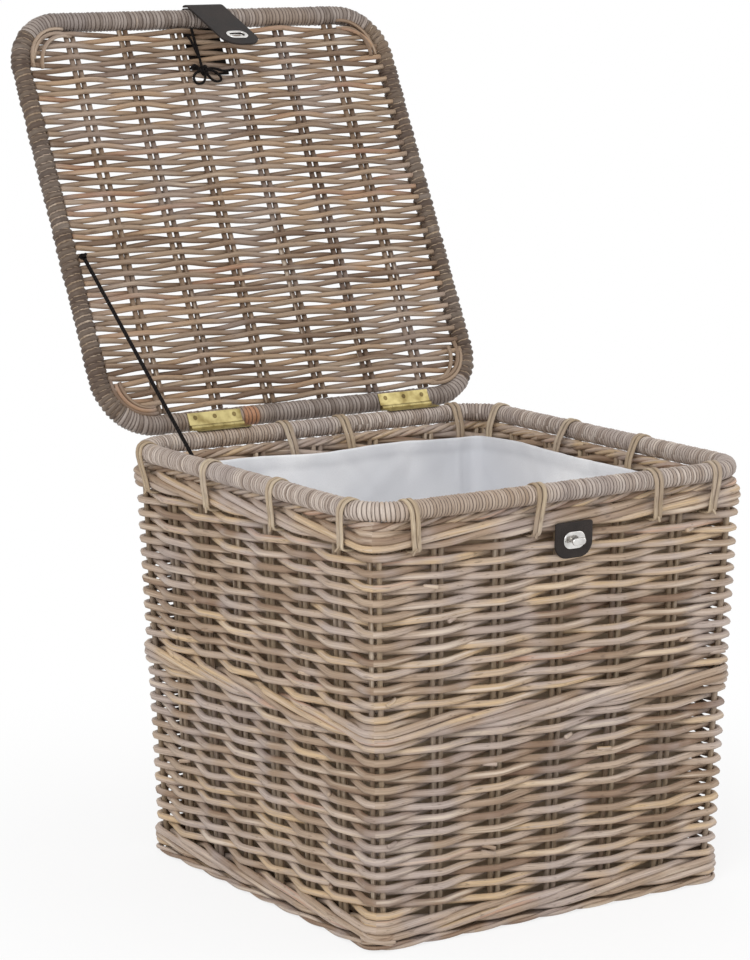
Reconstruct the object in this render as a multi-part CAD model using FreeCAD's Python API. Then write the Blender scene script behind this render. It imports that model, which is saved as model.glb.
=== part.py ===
import FreeCAD, Part
import math
import os

V = FreeCAD.Vector

# Driving dimensions, in millimetres and degrees. The basket stands on z = 0,
# centred on the origin, with its front towards -Y and its hinges towards +Y.

# Rim hoop of the basket
rim_span = 450.0
rim_centre_height = 430.0
rim_bend_radius = 44.0
rim_pole_dia = 16.0
wrap_thickness = 1.9
wrap_clearance = 0.1
wrap_seam = 0.4

# Wall of paired stakes and woven rods
wall_inset = 7.0
wall_taper = 14.5
corner_inset = 3.0
pairs_across = 5
pairs_deep = 6
stake_dia = 5.6
pair_spacing = 8.5
rod_depth = 6.7
rod_gap = 0.3
seat_gap = 0.3
lower_rows = 25
upper_rows = 23
waling_rods = 4
waling_cross_share = 0.4

# Foot and bottom
foot_height = 8.0
foot_overlap = 20.0
foot_corner_radius = 20.0
foot_edge_radius = 2.5
mat_thickness = 6.0
base_stick_dia = 5.6

# Lashings that bind the rim to the top waling
lash_width = 3.6
lash_thickness = 2.3
lash_strand_gap = 0.5
lash_corner_radius = 8.0

# Cotton liner
liner_thickness = 1.6
liner_drop = 28.0
liner_corner_radius = 26.0
liner_sag = 7.0

# Lid hoop and weave
lid_side_overhang = 8.0
lid_front_overhang = 11.0
lid_bend_radius = 54.0
lid_pole_dia = 18.0
lid_open_angle = 116.5
lid_pairs = 6
lid_stake_dia = 5.0
lid_pair_spacing = 8.0
lid_rod_depth = 5.2
lid_rod_height = 5.0
lid_row_pitch = 6.6

# Butt hinges
hinge_length = 65.0
hinge_setback = 11.0
leaf_thickness = 1.2
leaf_width = 16.5
leaf_clearance = 0.15
knuckle_count = 5
knuckle_gap = 0.3
knuckle_dia = 5.6
pin_dia = 2.4
pin_clearance = 0.06
left_hinge_x = -113.0
right_hinge_x = 129.0
leaf_screw_spread = 24.0
screw_dia = 2.4
screw_head_dia = 5.0
screw_length = 9.0

# Leather strap, eyelet and turn catch
catch_x = 7.0
catch_drop = 48.0
strap_width = 46.0
strap_thickness = 2.2
strap_layer_gap = 0.3
strap_flap_length = 62.0
strap_end_margin = 21.0
strap_droop = 24.0
eyelet_length = 26.0
eyelet_width = 17.0
eyelet_rim = 4.0
eyelet_thickness = 1.2
patch_width = 45.0
patch_length = 36.0
patch_thickness = 2.2
patch_top_radius = 3.0
patch_bottom_radius = 15.0
plate_length = 26.0
plate_width = 17.0
plate_thickness = 1.4
knob_length = 16.0
knob_width = 7.0
knob_thickness = 3.2
knob_neck_dia = 4.6
knob_neck_length = 5.0
turn_clearance = 0.08
rivet_head_dia = 3.2
rivet_shank_dia = 1.8
rivet_head_height = 0.9

# Tie that holds the strap, and the stay cord
tie_dia = 1.6
tie_knot_dia = 8.0
tie_reach = 65.0
tie_tail = 22.0
stay_dia = 4.0
stay_knot_dia = 9.0
stay_knot_length = 10.0
stay_on_lid = 190.0
stay_on_rim = 120.0
stay_lid_tilt = 30.0
stay_rim_tilt = 30.0

# Worked-out sizes
rim_half = rim_span / 2
wall_half_at_rim = rim_half - wall_inset
wall_half_at_floor = wall_half_at_rim - wall_taper
catch_height = rim_centre_height - catch_drop
rim_radius = rim_pole_dia / 2 + wrap_clearance + wrap_thickness
rim_top = rim_centre_height + rim_radius
rim_bottom = rim_centre_height - rim_radius
stake_radius = stake_dia / 2
lash_room = lash_thickness + 2 * seat_gap
waling_levels = waling_rods - 1
row_count = 3 * waling_levels + 1 + lower_rows + upper_rows
row_pitch = (rim_bottom - foot_height - 2 * seat_gap - lash_room) / row_count
rod_half_height = (row_pitch - rod_gap) / 2
rod_half_depth = rod_depth / 2

lid_radius = lid_pole_dia / 2 + wrap_clearance + wrap_thickness
lid_gap = max(2 * leaf_thickness + 4 * leaf_clearance, lash_thickness + 2 * seat_gap)
lid_height = rim_top + lid_gap + lid_radius
lid_back_y = rim_half
lid_front_y = -rim_half - lid_front_overhang
lid_half = rim_half + lid_side_overhang
hinge_y = rim_half + hinge_setback
hinge_z = rim_top + lid_gap / 2

strap_inner_radius = lid_radius + strap_layer_gap
tail_inner_radius = strap_inner_radius + strap_thickness + strap_layer_gap
strap_swing = lid_open_angle - 90 + strap_droop


os.makedirs("parts", exist_ok=True)


def export(name, solids):
    shape = solids[0] if len(solids) == 1 else Part.makeCompound(solids)
    shape.exportStep("parts/%s.step" % name)


def solid_of(faces):
    shell = Part.makeShell(faces)
    shell.sewShape()
    solid = Part.makeSolid(Part.Shell(shell.Faces))
    if solid.Volume < 0:
        solid.reverse()
    return solid


def turned(shape, point, axis, degrees):
    copy = shape.copy()
    copy.rotate(point, axis, degrees)
    return copy


def opened(shape):
    """A lid piece, drawn closed, leant back to the open position."""
    return turned(shape, V(0, hinge_y, hinge_z), V(1, 0, 0), -lid_open_angle)


def rounded_outline(corners, radii):
    """A closed wire through the corners, each rounded by its own radius."""
    edges = []
    starts = []
    ends = []
    count = len(corners)
    for i in range(count):
        before = (corners[i - 1] - corners[i]).normalize()
        after = (corners[(i + 1) % count] - corners[i]).normalize()
        half = math.acos(max(-1, min(1, before.dot(after)))) / 2
        reach = radii[i] / math.tan(half)
        start = corners[i] + before * reach
        end = corners[i] + after * reach
        bisector = (before + after).normalize()
        middle = corners[i] + bisector * (radii[i] / math.sin(half) - radii[i])
        starts.append(start)
        ends.append(end)
        edges.append(Part.Arc(start, middle, end).toShape())
        if i:
            edges.append(Part.LineSegment(ends[i - 1], start).toShape())
    edges.append(Part.LineSegment(ends[-1], starts[0]).toShape())
    return Part.Wire(Part.__sortEdges__(edges))


def holed_face(outer, inner):
    return Part.Face(outer).cut(Part.Face(inner)).Faces[0]


def rounded_square(half_x, half_y, radius, z):
    corners = [V(-half_x, -half_y, z), V(half_x, -half_y, z), V(half_x, half_y, z), V(-half_x, half_y, z)]
    return rounded_outline(corners, [radius] * 4)


# Poles bent to a rounded square, and the peel wrapped round them

side_normals = [V(0, -1, 0), V(1, 0, 0), V(0, 1, 0), V(-1, 0, 0)]
side_tangents = [V(1, 0, 0), V(0, 1, 0), V(-1, 0, 0), V(0, -1, 0)]


def hoop_side(centre, half_along, half_out, bend, side, seam):
    """The path of one side of a hoop, from the middle of one bend to the middle of the next."""
    normal = side_normals[side]
    tangent = side_tangents[side]
    run = half_along - bend
    turn = math.pi / 4 - seam / bend
    points = []
    for hand in (-1, 1):
        pivot = centre + tangent * (hand * run) + normal * (half_out - bend)
        for angle in (0, turn / 2, turn):
            swing = tangent * (hand * math.sin(angle)) + normal * math.cos(angle)
            points.append(pivot + swing * bend)
    first_bend = Part.Arc(points[2], points[1], points[0]).toShape()
    straight = Part.LineSegment(points[0], points[3]).toShape()
    last_bend = Part.Arc(points[3], points[4], points[5]).toShape()
    heading = tangent * math.cos(turn) + normal * math.sin(turn)
    return Part.Wire([first_bend, straight, last_bend]), points[2], heading


def hoop_pieces(centre, half_x, half_y, bend, outer, inner, seam):
    """The four sides of a hoop, as tubes, or as rods where there is no inner radius."""
    pieces = []
    for side in range(4):
        half_along = half_x if side % 2 == 0 else half_y
        half_out = half_y if side % 2 == 0 else half_x
        path, start, heading = hoop_side(centre, half_along, half_out, bend, side, seam)
        rings = [Part.Wire(Part.Circle(start, heading, outer).toShape())]
        if inner:
            rings.append(Part.Wire(Part.Circle(start, heading, inner).toShape()))
        solids = [path.makePipeShell([ring], True, False) for ring in rings]
        pieces.append(solids[0].cut(solids[1]).Solids[0] if inner else solids[0])
    return pieces


def hoop(centre, half_x, half_y, bend, pole_radius):
    sides = hoop_pieces(centre, half_x, half_y, bend, pole_radius, 0, 0)
    return sides[0].multiFuse(sides[1:]).removeSplitter().Solids[0]


rim_centre = V(0, 0, rim_centre_height)
rim_pole = hoop(rim_centre, rim_half, rim_half, rim_bend_radius, rim_pole_dia / 2)
export("rim_pole", [rim_pole])
rim_bore = rim_pole_dia / 2 + wrap_clearance
rim_wrapping = hoop_pieces(rim_centre, rim_half, rim_half, rim_bend_radius, rim_radius, rim_bore, wrap_seam)
export("rim_wrapping", rim_wrapping)


# Stations of the paired stakes round the wall, and the rods woven past them


def wall_half(z):
    return wall_half_at_floor + (wall_half_at_rim - wall_half_at_floor) * z / rim_centre_height


def stations(z):
    """Each stake pair at this height: its point, the ways along and out of the wall, and corner or not."""
    half = wall_half(z)
    found = []
    for side in range(4):
        normal = side_normals[side]
        tangent = side_tangents[side]
        pairs = pairs_across if side % 2 == 0 else pairs_deep
        corner = (normal - tangent) * (half - corner_inset) + V(0, 0, z)
        found.append((corner, (tangent + normal).normalize(), (normal - tangent).normalize(), True))
        for i in range(1, pairs + 1):
            along = half * (2.0 * i / (pairs + 1) - 1)
            found.append((normal * half + tangent * along + V(0, 0, z), tangent, normal, False))
    return found


pair_reach = pair_spacing / 2 + stake_radius
tightest_step = 2 * wall_half_at_floor / (max(pairs_across, pairs_deep) + 1)
rod_swing = (stake_radius + seat_gap + 1.06 * rod_half_depth) / (1 - 2 * pair_reach / tightest_step)
corner_flat = pair_reach + rod_half_depth
wall_reach = rod_swing + rod_half_depth
station_count = len(stations(0))


def rod_path(heights, signs, cross_share=None):
    """The bends of one row that passes each pair inside (-1) or outside (1), at that pair's height.

    With a cross share, it changes sides that far from the pair it passes outside, at that pair's height.
    The second list says at which bends, one at each corner pair, one rod ends and the next begins.
    """
    bends = []
    joints = []
    for i in range(station_count):
        point, tangent, out, corner = stations(heights[i])[i]
        past = point + out * (rod_swing * signs[i])
        if corner:
            joints.append(len(bends))
        if corner and signs[i] > 0:
            bends.append(past - tangent * corner_flat)
            bends.append(past + tangent * corner_flat)
        else:
            bends.append(past)
        j = (i + 1) % station_count
        if cross_share and signs[i] != signs[j]:
            outer, inner = (i, j) if signs[i] > 0 else (j, i)
            line = stations(heights[outer])
            bends.append(line[outer][0] * (1 - cross_share) + line[inner][0] * cross_share)
    return bends, joints


def mitre(before, here, after, offset):
    """The point beside a bend, in plan, at this distance outside both of its runs."""
    arrive = V(here.x - before.x, here.y - before.y, 0).normalize()
    leave = V(after.x - here.x, after.y - here.y, 0).normalize()
    out_a = V(arrive.y, -arrive.x, 0)
    out_b = V(leave.y, -leave.x, 0)
    return here + (out_a + out_b) * (offset / (1 + out_a.dot(out_b)))


def woven_rods(bends, joints):
    """Rods laid end to end round the wall, three-sided with the ridge outwards, mitred at each bend."""
    count = len(bends)
    ridge = []
    upper = []
    lower = []
    for i in range(count):
        near = (bends[i - 1], bends[i], bends[(i + 1) % count])
        ridge.append(mitre(*near, rod_half_depth))
        back = mitre(*near, -rod_half_depth)
        upper.append(back + V(0, 0, rod_half_height))
        lower.append(back - V(0, 0, rod_half_height))
    rods = []
    for start, end in zip(joints, joints[1:] + [count]):
        faces = []
        for i in (start, end % count):
            faces.append(Part.Face(Part.makePolygon([ridge[i], upper[i], lower[i], ridge[i]])))
        for i in range(start, end):
            j = (i + 1) % count
            for edge_a, edge_b in ((ridge, upper), (upper, lower), (lower, ridge)):
                faces += flat_faces([edge_a[i], edge_a[j], edge_b[j], edge_b[i]])
        rods.append(solid_of(faces))
    return rods


def flat_faces(corners):
    """A four-cornered face, cut along a diagonal where its corners are not in one plane."""
    normal = (corners[1] - corners[0]).cross(corners[3] - corners[0]).normalize()
    if abs((corners[2] - corners[0]).dot(normal)) < 1e-6:
        return [Part.Face(Part.makePolygon(corners + corners[:1]))]
    halves = (corners[:3], [corners[0], corners[2], corners[3]])
    return [Part.Face(Part.makePolygon(half + half[:1])) for half in halves]


def siding(floor_z, rows):
    """Plain rows, each passing outside one pair and inside the next, and every other row the other way."""
    rods = []
    for row in range(rows):
        z = floor_z + (row + 0.5) * row_pitch
        signs = [1 - 2 * ((i + row) % 2) for i in range(station_count)]
        rods += woven_rods(*rod_path([z] * station_count, signs))
    return rods


def waling(floor_z):
    """Rods that climb outside all pairs but one in turn, then dip inside that pair and start again below."""
    rods = []
    middle = floor_z + waling_levels * row_pitch / 2
    for rod in range(waling_rods):
        heights = []
        signs = []
        for i in range(station_count):
            step = waling_step(i, rod)
            inside = step >= waling_levels
            heights.append(middle if inside else floor_z + (step + 0.5) * row_pitch)
            signs.append(-1 if inside else 1)
        rods += woven_rods(*rod_path(heights, signs, waling_cross_share))
    return rods


def waling_step(station, rod):
    """How far a rod has climbed at a pair. Where the last round is short, the rods wait before they dip."""
    whole = station_count - station_count % waling_rods
    return (min(station, whole - 1) + rod) % waling_rods


level = foot_height + seat_gap
export("bottom_waling", waling(level))
level += waling_levels * row_pitch
export("lower_siding", siding(level, lower_rows))
level += lower_rows * row_pitch
export("middle_waling", waling(level))
level += waling_levels * row_pitch
export("upper_siding", siding(level, upper_rows))
level += upper_rows * row_pitch
lash_floor = level + seat_gap
level += lash_room
export("top_waling", waling(level))
level += waling_levels * row_pitch
border_height = level + row_pitch / 2
export("top_border", woven_rods(*rod_path([border_height] * station_count, [1] * station_count)))

stake_foot = foot_height + seat_gap
stake_top = rim_bottom - seat_gap
side_names = ("front", "right", "back", "left")
stakes = {name: [] for name in side_names}
for i in range(station_count):
    low, tangent, out, corner = stations(stake_foot)[i]
    high = stations(stake_top)[i][0]
    per_turn = pairs_across + pairs_deep + 2
    side = 2 * (i // per_turn) + (1 if i % per_turn > pairs_across else 0)
    for hand in (-1, 1):
        beside = tangent * (hand * pair_spacing / 2)
        axis = high - low
        rod = Part.makeCylinder(stake_radius, axis.Length, low + beside, axis)
        stakes[side_names[side]].append(rod)
for name in side_names:
    export(name + "_stakes", stakes[name])


# Foot border, bottom mat and the sticks across it

foot_half = wall_half(0) + wall_reach
foot_inner = foot_half - foot_overlap
foot_outline = rounded_square(foot_half, foot_half, foot_corner_radius, 0)
foot_bore = rounded_square(foot_inner, foot_inner, foot_corner_radius / 2, 0)
foot_border = holed_face(foot_outline, foot_bore).extrude(V(0, 0, foot_height))
outer_edges = []
for edge in foot_border.Edges:
    box = edge.BoundBox
    reach = max(-box.XMin, box.XMax, -box.YMin, box.YMax)
    if box.ZLength < 1e-6 and reach > (foot_inner + foot_half) / 2:
        outer_edges.append(edge)
foot_border = foot_border.makeFillet(foot_edge_radius, outer_edges)
export("foot_border", [foot_border])

mat_half = foot_inner - seat_gap
mat_outline = rounded_square(mat_half, mat_half, foot_corner_radius / 2 - seat_gap, 0)
export("base_mat", [Part.Face(mat_outline).extrude(V(0, 0, mat_thickness))])

liner_gap = lash_thickness + 2 * seat_gap


def liner_half(z):
    return wall_half(min(z, lash_floor)) - wall_reach - liner_gap


base_sticks = []
stick_height = mat_thickness + seat_gap + base_stick_dia / 2
stick_half = liner_half(0) - foot_corner_radius / 2
for i in range(1, pairs_across + 1):
    x = liner_half(0) * (2.0 * i / (pairs_across + 1) - 1)
    for hand in (-1, 1):
        start = V(x + hand * pair_spacing / 2, -stick_half, stick_height)
        base_sticks.append(Part.makeCylinder(base_stick_dia / 2, 2 * stick_half, start, V(0, 1, 0)))
export("base_sticks", base_sticks)


# Cotton liner: an open bag whose walls sag inwards between its corners


def liner_outline(half, radius, sag, z):
    """A rounded square whose four sides bow inwards by the sag."""
    edges = []
    for side in range(4):
        normal = side_normals[side]
        tangent = side_tangents[side]
        run = half - radius
        start = normal * half - tangent * run + V(0, 0, z)
        end = normal * half + tangent * run + V(0, 0, z)
        edges.append(Part.Arc(start, normal * (half - sag) + V(0, 0, z), end).toShape())
        pivot = normal * run + tangent * run + V(0, 0, z)
        corner = pivot + (normal + tangent).normalize() * radius
        edges.append(Part.Arc(end, corner, normal * run + tangent * half + V(0, 0, z)).toShape())
    return Part.Wire(edges)


liner_floor = mat_thickness + 2 * seat_gap + base_stick_dia
liner_top = rim_top - liner_drop
liner_middle = (liner_floor + liner_top) / 2


def bag(inset, floor_z, top_z, sag):
    """The liner's outline carried from the floor to the top, drawn in by the inset."""
    levels = ((floor_z, 0.15 * sag), (liner_middle, sag), (top_z, 0.3 * sag))
    outlines = []
    for z, bow in levels:
        outlines.append(liner_outline(liner_half(z) - inset, liner_corner_radius - inset, bow, z))
    return Part.makeLoft(outlines, True, False)


liner_skin = bag(0, liner_floor, liner_top, liner_sag)
liner_room = bag(liner_thickness, liner_floor, liner_top, liner_sag)
liner_room.translate(V(0, 0, liner_thickness))
liner = liner_skin.cut(liner_room).Solids[0]
export("liner", [liner])

# Lashings


def lash_stations():
    """Where each lashing goes round the rim: by side, the steps between stake pairs that they go through."""
    return {0: (0, 2, 4, 5), 1: (2, 4, 6), 2: (0, 2, 3), 3: (0, 2, 4, 6)}


def lashing(side, along):
    """Two strands side by side, each one turn round the rim and the rods of the top waling."""
    normal = side_normals[side]
    tangent = side_tangents[side]
    outside = max(rim_radius, wall_half(rim_centre_height) + wall_reach - rim_half) + seat_gap
    inside = max(rim_radius, rim_half - wall_half(lash_floor) + wall_reach) + seat_gap
    strands = []
    for hand in (-1, 1):
        middle = along + hand * (lash_width + lash_strand_gap) / 2
        rings = []
        for grow in (lash_thickness, 0):
            low = lash_floor + lash_thickness - grow
            high = rim_top + seat_gap + grow
            outer = outside + grow
            inner = -inside - grow
            spots = ((outer, low), (outer, high), (inner, high), (inner, low))
            base = tangent * (middle - lash_width / 2)
            corners = [base + normal * (rim_half + out) + V(0, 0, z) for out, z in spots]
            radius = lash_corner_radius + grow
            rings.append(rounded_outline(corners, [grow + 1, radius, radius, grow + 1]))
        strands.append(holed_face(*rings).extrude(tangent * lash_width))
    return strands


lashings = []
for side, steps in lash_stations().items():
    pairs = pairs_across if side % 2 == 0 else pairs_deep
    for step in steps:
        along = wall_half(lash_floor) * (2.0 * (step + 0.5) / (pairs + 1) - 1)
        lashings += lashing(side, along)
export("rim_lashings", lashings)


# Lid, drawn closed and then opened

lid_centre = V(0, (lid_back_y + lid_front_y) / 2, lid_height)
lid_half_length = (lid_back_y - lid_front_y) / 2
lid_pole = hoop(lid_centre, lid_half, lid_half_length, lid_bend_radius, lid_pole_dia / 2)
export("lid_pole", [opened(lid_pole)])
lid_bore = lid_pole_dia / 2 + wrap_clearance
lid_wraps = hoop_pieces(
    lid_centre, lid_half, lid_half_length, lid_bend_radius, lid_radius, lid_bore, wrap_seam
)
for name, wrap in zip(("front", "right", "back", "left"), lid_wraps):
    export("lid_%s_wrapping" % name, [opened(wrap)])

lid_step = 2 * lid_half / (lid_pairs + 1)
lid_stake_radius = lid_stake_dia / 2
lid_pair_reach = lid_pair_spacing / 2 + lid_stake_radius
lid_half_depth = lid_rod_depth / 2
lid_swing = (lid_stake_radius + seat_gap + 1.04 * lid_half_depth) / (1 - 2 * lid_pair_reach / lid_step)
lid_stake_half = lid_half_length - lid_radius - seat_gap

lid_stakes = []
for i in range(1, lid_pairs + 1):
    x = i * lid_step - lid_half
    for hand in (-1, 1):
        start = lid_centre + V(x + hand * lid_pair_spacing / 2, -lid_stake_half, 0)
        lid_stakes.append(opened(Part.makeCylinder(lid_stake_radius, 2 * lid_stake_half, start, V(0, 1, 0))))
export("lid_stakes", lid_stakes)


def lid_edge(y):
    """How far the space inside the lid hoop reaches to each side at this distance from its middle."""
    into_bend = max(0, abs(y) - (lid_half_length - lid_bend_radius))
    inner_bend = lid_bend_radius - lid_radius
    drawn_in = inner_bend - math.sqrt(max(0, inner_bend ** 2 - into_bend ** 2))
    return lid_half - lid_radius - drawn_in - seat_gap


def lid_row(y, first_sign):
    """A rod across the lid, four-sided, over one stake pair and under the next."""
    reach = lid_edge(abs(y) + lid_rod_height / 2)
    spots = [(-reach, 0)]
    for i in range(1, lid_pairs + 1):
        spots.append((i * lid_step - lid_half, first_sign * lid_swing * (1 - 2 * (i % 2))))
    spots.append((reach, 0))
    tops = []
    bottoms = []
    for i, (x, z) in enumerate(spots):
        before = spots[max(i - 1, 0)]
        after = spots[min(i + 1, len(spots) - 1)]
        lean_a = math.atan2(z - before[1], x - before[0]) if i else None
        lean_b = math.atan2(after[1] - z, after[0] - x) if i < len(spots) - 1 else lean_a
        lean_a = lean_b if lean_a is None else lean_a
        rise = lid_half_depth / math.cos((lean_a - lean_b) / 2)
        lean = (lean_a + lean_b) / 2
        square_end = i in (0, len(spots) - 1)
        shift = V(0, 0, lid_half_depth) if square_end else V(-math.sin(lean), 0, math.cos(lean)) * rise
        tops.append(lid_centre + V(x, y, z) + shift)
        bottoms.append(lid_centre + V(x, y, z) - shift)
    fronts = [(a + b) * 0.5 - V(0, lid_rod_height / 2, 0) for a, b in zip(tops, bottoms)]
    backs = [(a + b) * 0.5 + V(0, lid_rod_height / 2, 0) for a, b in zip(tops, bottoms)]
    sides = [fronts, tops, backs, bottoms]
    faces = []
    for k in range(4):
        one = sides[k]
        two = sides[(k + 1) % 4]
        for i in range(len(spots) - 1):
            faces += flat_faces([one[i], one[i + 1], two[i + 1], two[i]])
    for i in (0, len(spots) - 1):
        faces.append(Part.Face(Part.makePolygon([side[i] for side in sides] + [sides[0][i]])))
    return solid_of(faces)


lid_rows = int((2 * lid_stake_half - lid_rod_height) // lid_row_pitch) + 1
lid_weave = []
for row in range(lid_rows):
    y = (row - (lid_rows - 1) / 2) * lid_row_pitch
    lid_weave.append(opened(lid_row(y, 1 - 2 * (row % 2))))
export("lid_weave", lid_weave)


# Butt hinges


def leaf(x, on_lid):
    """A hinge leaf with its knuckles: on the lid it has the even knuckles, on the rim the odd ones."""
    hand = 1 if on_lid else -1
    near = hinge_z + hand * leaf_clearance
    far = near + hand * leaf_thickness
    plate_corner = V(x - hinge_length / 2, hinge_y - leaf_width, min(near, far))
    plate = Part.makeBox(hinge_length, leaf_width, leaf_thickness, plate_corner)
    step = hinge_length / knuckle_count
    solid = plate
    for i in range(knuckle_count):
        start = V(x - hinge_length / 2 + i * step + knuckle_gap / 2, hinge_y, hinge_z)
        mine = (i % 2 == 1) == on_lid
        length = step - knuckle_gap
        if mine:
            solid = solid.fuse(Part.makeCylinder(knuckle_dia / 2, length, start, V(1, 0, 0)))
        else:
            room_start = start - V(knuckle_gap, 0, 0)
            room_radius = knuckle_dia / 2 + knuckle_gap
            room_length = length + 2 * knuckle_gap
            solid = solid.cut(Part.makeCylinder(room_radius, room_length, room_start, V(1, 0, 0)))
    bore_start = V(x - hinge_length / 2, hinge_y, hinge_z)
    solid = solid.cut(Part.makeCylinder(pin_dia / 2 + pin_clearance, hinge_length, bore_start, V(1, 0, 0)))
    for screw_x in leaf_screw_places(x):
        solid = solid.cut(leaf_screw(screw_x, on_lid, leaf_clearance))
    return solid.removeSplitter().Solids[0]


def leaf_screw_places(x):
    return [x - leaf_screw_spread, x, x + leaf_screw_spread]


def leaf_screw(x, on_lid, grow):
    """A countersunk screw through a leaf into the pole behind it. With grow it is the hole that it needs."""
    hand = 1 if on_lid else -1
    face = V(x, rim_half, hinge_z + hand * leaf_clearance)
    into = V(0, 0, hand)
    head = Part.makeCone(screw_head_dia / 2 + grow, screw_dia / 2 + grow, leaf_thickness, face, into)
    shank = Part.makeCylinder(screw_dia / 2 + grow, screw_length, face, into)
    return head.fuse(shank).removeSplitter()


lid_screws = []
rim_screws = []
for name, x in (("left", left_hinge_x), ("right", right_hinge_x)):
    export(name + "_hinge_lid_leaf", [opened(leaf(x, True))])
    export(name + "_hinge_rim_leaf", [leaf(x, False)])
    start = V(x - hinge_length / 2, hinge_y, hinge_z)
    export(name + "_hinge_pin", [Part.makeCylinder(pin_dia / 2, hinge_length, start, V(1, 0, 0))])
    lid_screws += [opened(leaf_screw(spot, True, 0)) for spot in leaf_screw_places(x)]
    rim_screws += [leaf_screw(spot, False, 0) for spot in leaf_screw_places(x)]
export("hinge_lid_screws", lid_screws)
export("hinge_rim_screws", rim_screws)


# Strap: a fixed flap round the lid's front rim, and a tail that swings on it

strap_pivot = V(catch_x, lid_front_y, lid_height)
over_top = 90.0
at_front = 180.0


def on_strap(radius, degrees):
    """A point round the strap's pivot, in the plane across the rim, from straight back over the top."""
    angle = math.radians(degrees)
    return strap_pivot + V(-strap_width / 2, radius * math.cos(angle), radius * math.sin(angle))


def band(inner, first, last):
    """A strip of the strap's thickness bent round the pivot."""
    outer = inner + strap_thickness
    middle = (first + last) / 2
    edges = [
        Part.Arc(on_strap(inner, first), on_strap(inner, middle), on_strap(inner, last)).toShape(),
        Part.LineSegment(on_strap(inner, last), on_strap(outer, last)).toShape(),
        Part.Arc(on_strap(outer, last), on_strap(outer, middle), on_strap(outer, first)).toShape(),
        Part.LineSegment(on_strap(outer, first), on_strap(inner, first)).toShape(),
    ]
    return Part.Face(Part.Wire(edges)).extrude(V(strap_width, 0, 0))


flap_floor = strap_pivot.z + strap_inner_radius
flap = Part.makeBox(
    strap_width, strap_flap_length, strap_thickness, V(catch_x - strap_width / 2, strap_pivot.y, flap_floor)
)
strap_flap = flap.fuse(band(strap_inner_radius, over_top, at_front)).removeSplitter().Solids[0]
export("strap_flap", [opened(strap_flap)])


def slot_outline(length, width, point):
    """An upright slot with round ends, its long way across the front."""
    end_x = V(length / 2 - width / 2, 0, 0)
    half = V(0, 0, width / 2)
    tip = V(width / 2, 0, 0)
    edges = [
        Part.LineSegment(point - end_x - half, point + end_x - half).toShape(),
        Part.Arc(point + end_x - half, point + end_x + tip, point + end_x + half).toShape(),
        Part.LineSegment(point + end_x + half, point - end_x + half).toShape(),
        Part.Arc(point - end_x + half, point - end_x - tip, point - end_x - half).toShape(),
    ]
    return Part.Wire(edges)


tail_back_y = strap_pivot.y - tail_inner_radius
tail_end_z = catch_height - strap_end_margin
tail_corners = [
    V(catch_x - strap_width / 2, tail_back_y, strap_pivot.z),
    V(catch_x + strap_width / 2, tail_back_y, strap_pivot.z),
    V(catch_x + strap_width / 2, tail_back_y, tail_end_z),
    V(catch_x - strap_width / 2, tail_back_y, tail_end_z),
]
tail_outline = rounded_outline(tail_corners, [0.5, 0.5, strap_end_margin * 0.9, strap_end_margin * 0.9])
eyelet_point = V(catch_x, tail_back_y, catch_height)
slot_length = eyelet_length - 2 * eyelet_rim
slot_width = eyelet_width - 2 * eyelet_rim
tail_hole = slot_outline(slot_length + eyelet_rim, slot_width + eyelet_rim, eyelet_point)
tail_sheet = holed_face(tail_outline, tail_hole).extrude(V(0, -strap_thickness, 0))
tail_band = band(tail_inner_radius, at_front - strap_swing, at_front)
strap_tail = tail_sheet.fuse(tail_band).removeSplitter().Solids[0]


def hung(shape):
    """A piece of the tail, drawn plumb on the closed lid, swung back to where it stands on the open lid."""
    return opened(turned(shape, strap_pivot, V(1, 0, 0), strap_swing))


export("strap_tail", [hung(strap_tail)])


def eyelet_plate(y):
    outline = slot_outline(eyelet_length, eyelet_width, V(catch_x, y, catch_height))
    hole = slot_outline(slot_length, slot_width, V(catch_x, y, catch_height))
    return holed_face(outline, hole).extrude(V(0, -eyelet_thickness, 0))


eyelet_front_y = tail_back_y - strap_thickness
collar_wall = eyelet_rim - 2 * seat_gap
collar_outline = slot_outline(slot_length + collar_wall, slot_width + collar_wall, eyelet_point)
collar_hole = slot_outline(slot_length, slot_width, eyelet_point)
collar = holed_face(collar_outline, collar_hole).extrude(V(0, -strap_thickness, 0))
eyelet_ring = eyelet_plate(eyelet_front_y).fuse(collar).removeSplitter().Solids[0]
export("eyelet_ring", [hung(eyelet_ring)])
export("eyelet_washer", [hung(eyelet_plate(tail_back_y + eyelet_thickness))])


# Tie on the lid's underside that holds the strap

tie_x = catch_x - strap_width / 2
tie_step = (tie_x + lid_half) / lid_step % 1
row_lean = math.atan(2 * lid_swing / lid_step)
tie_seat = lid_height - lid_swing * abs(1 - 2 * tie_step) - lid_half_depth / math.cos(row_lean) - seat_gap
tie_height = tie_seat - tie_dia / 2
tie_knot_point = V(tie_x, lid_front_y + tie_reach, tie_seat - tie_dia)
tie_strand_start = V(tie_x, lid_front_y + lid_radius + seat_gap + tie_dia, tie_height)
strand_end_y = tie_knot_point.y - tie_knot_dia / 2 - seat_gap
strand_length = strand_end_y - tie_strand_start.y
tie_strand = Part.makeCylinder(tie_dia / 2, strand_length, tie_strand_start, V(0, 1, 0))
tie_knot = Part.makeTorus(tie_knot_dia / 2 - tie_dia, tie_dia, tie_knot_point, V(0, 0, 1))
tail_start = V(tie_x + tie_knot_dia / 2 + seat_gap, tie_knot_point.y, tie_height)
tie_tails = Part.makeCylinder(tie_dia / 2, tie_tail, tail_start, V(1, 0, 0))
export("strap_tie", [opened(tie_strand), opened(tie_knot), opened(tie_tails)])


# Catch on the front wall: leather patch, plate, rivets and the turning knob

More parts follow.
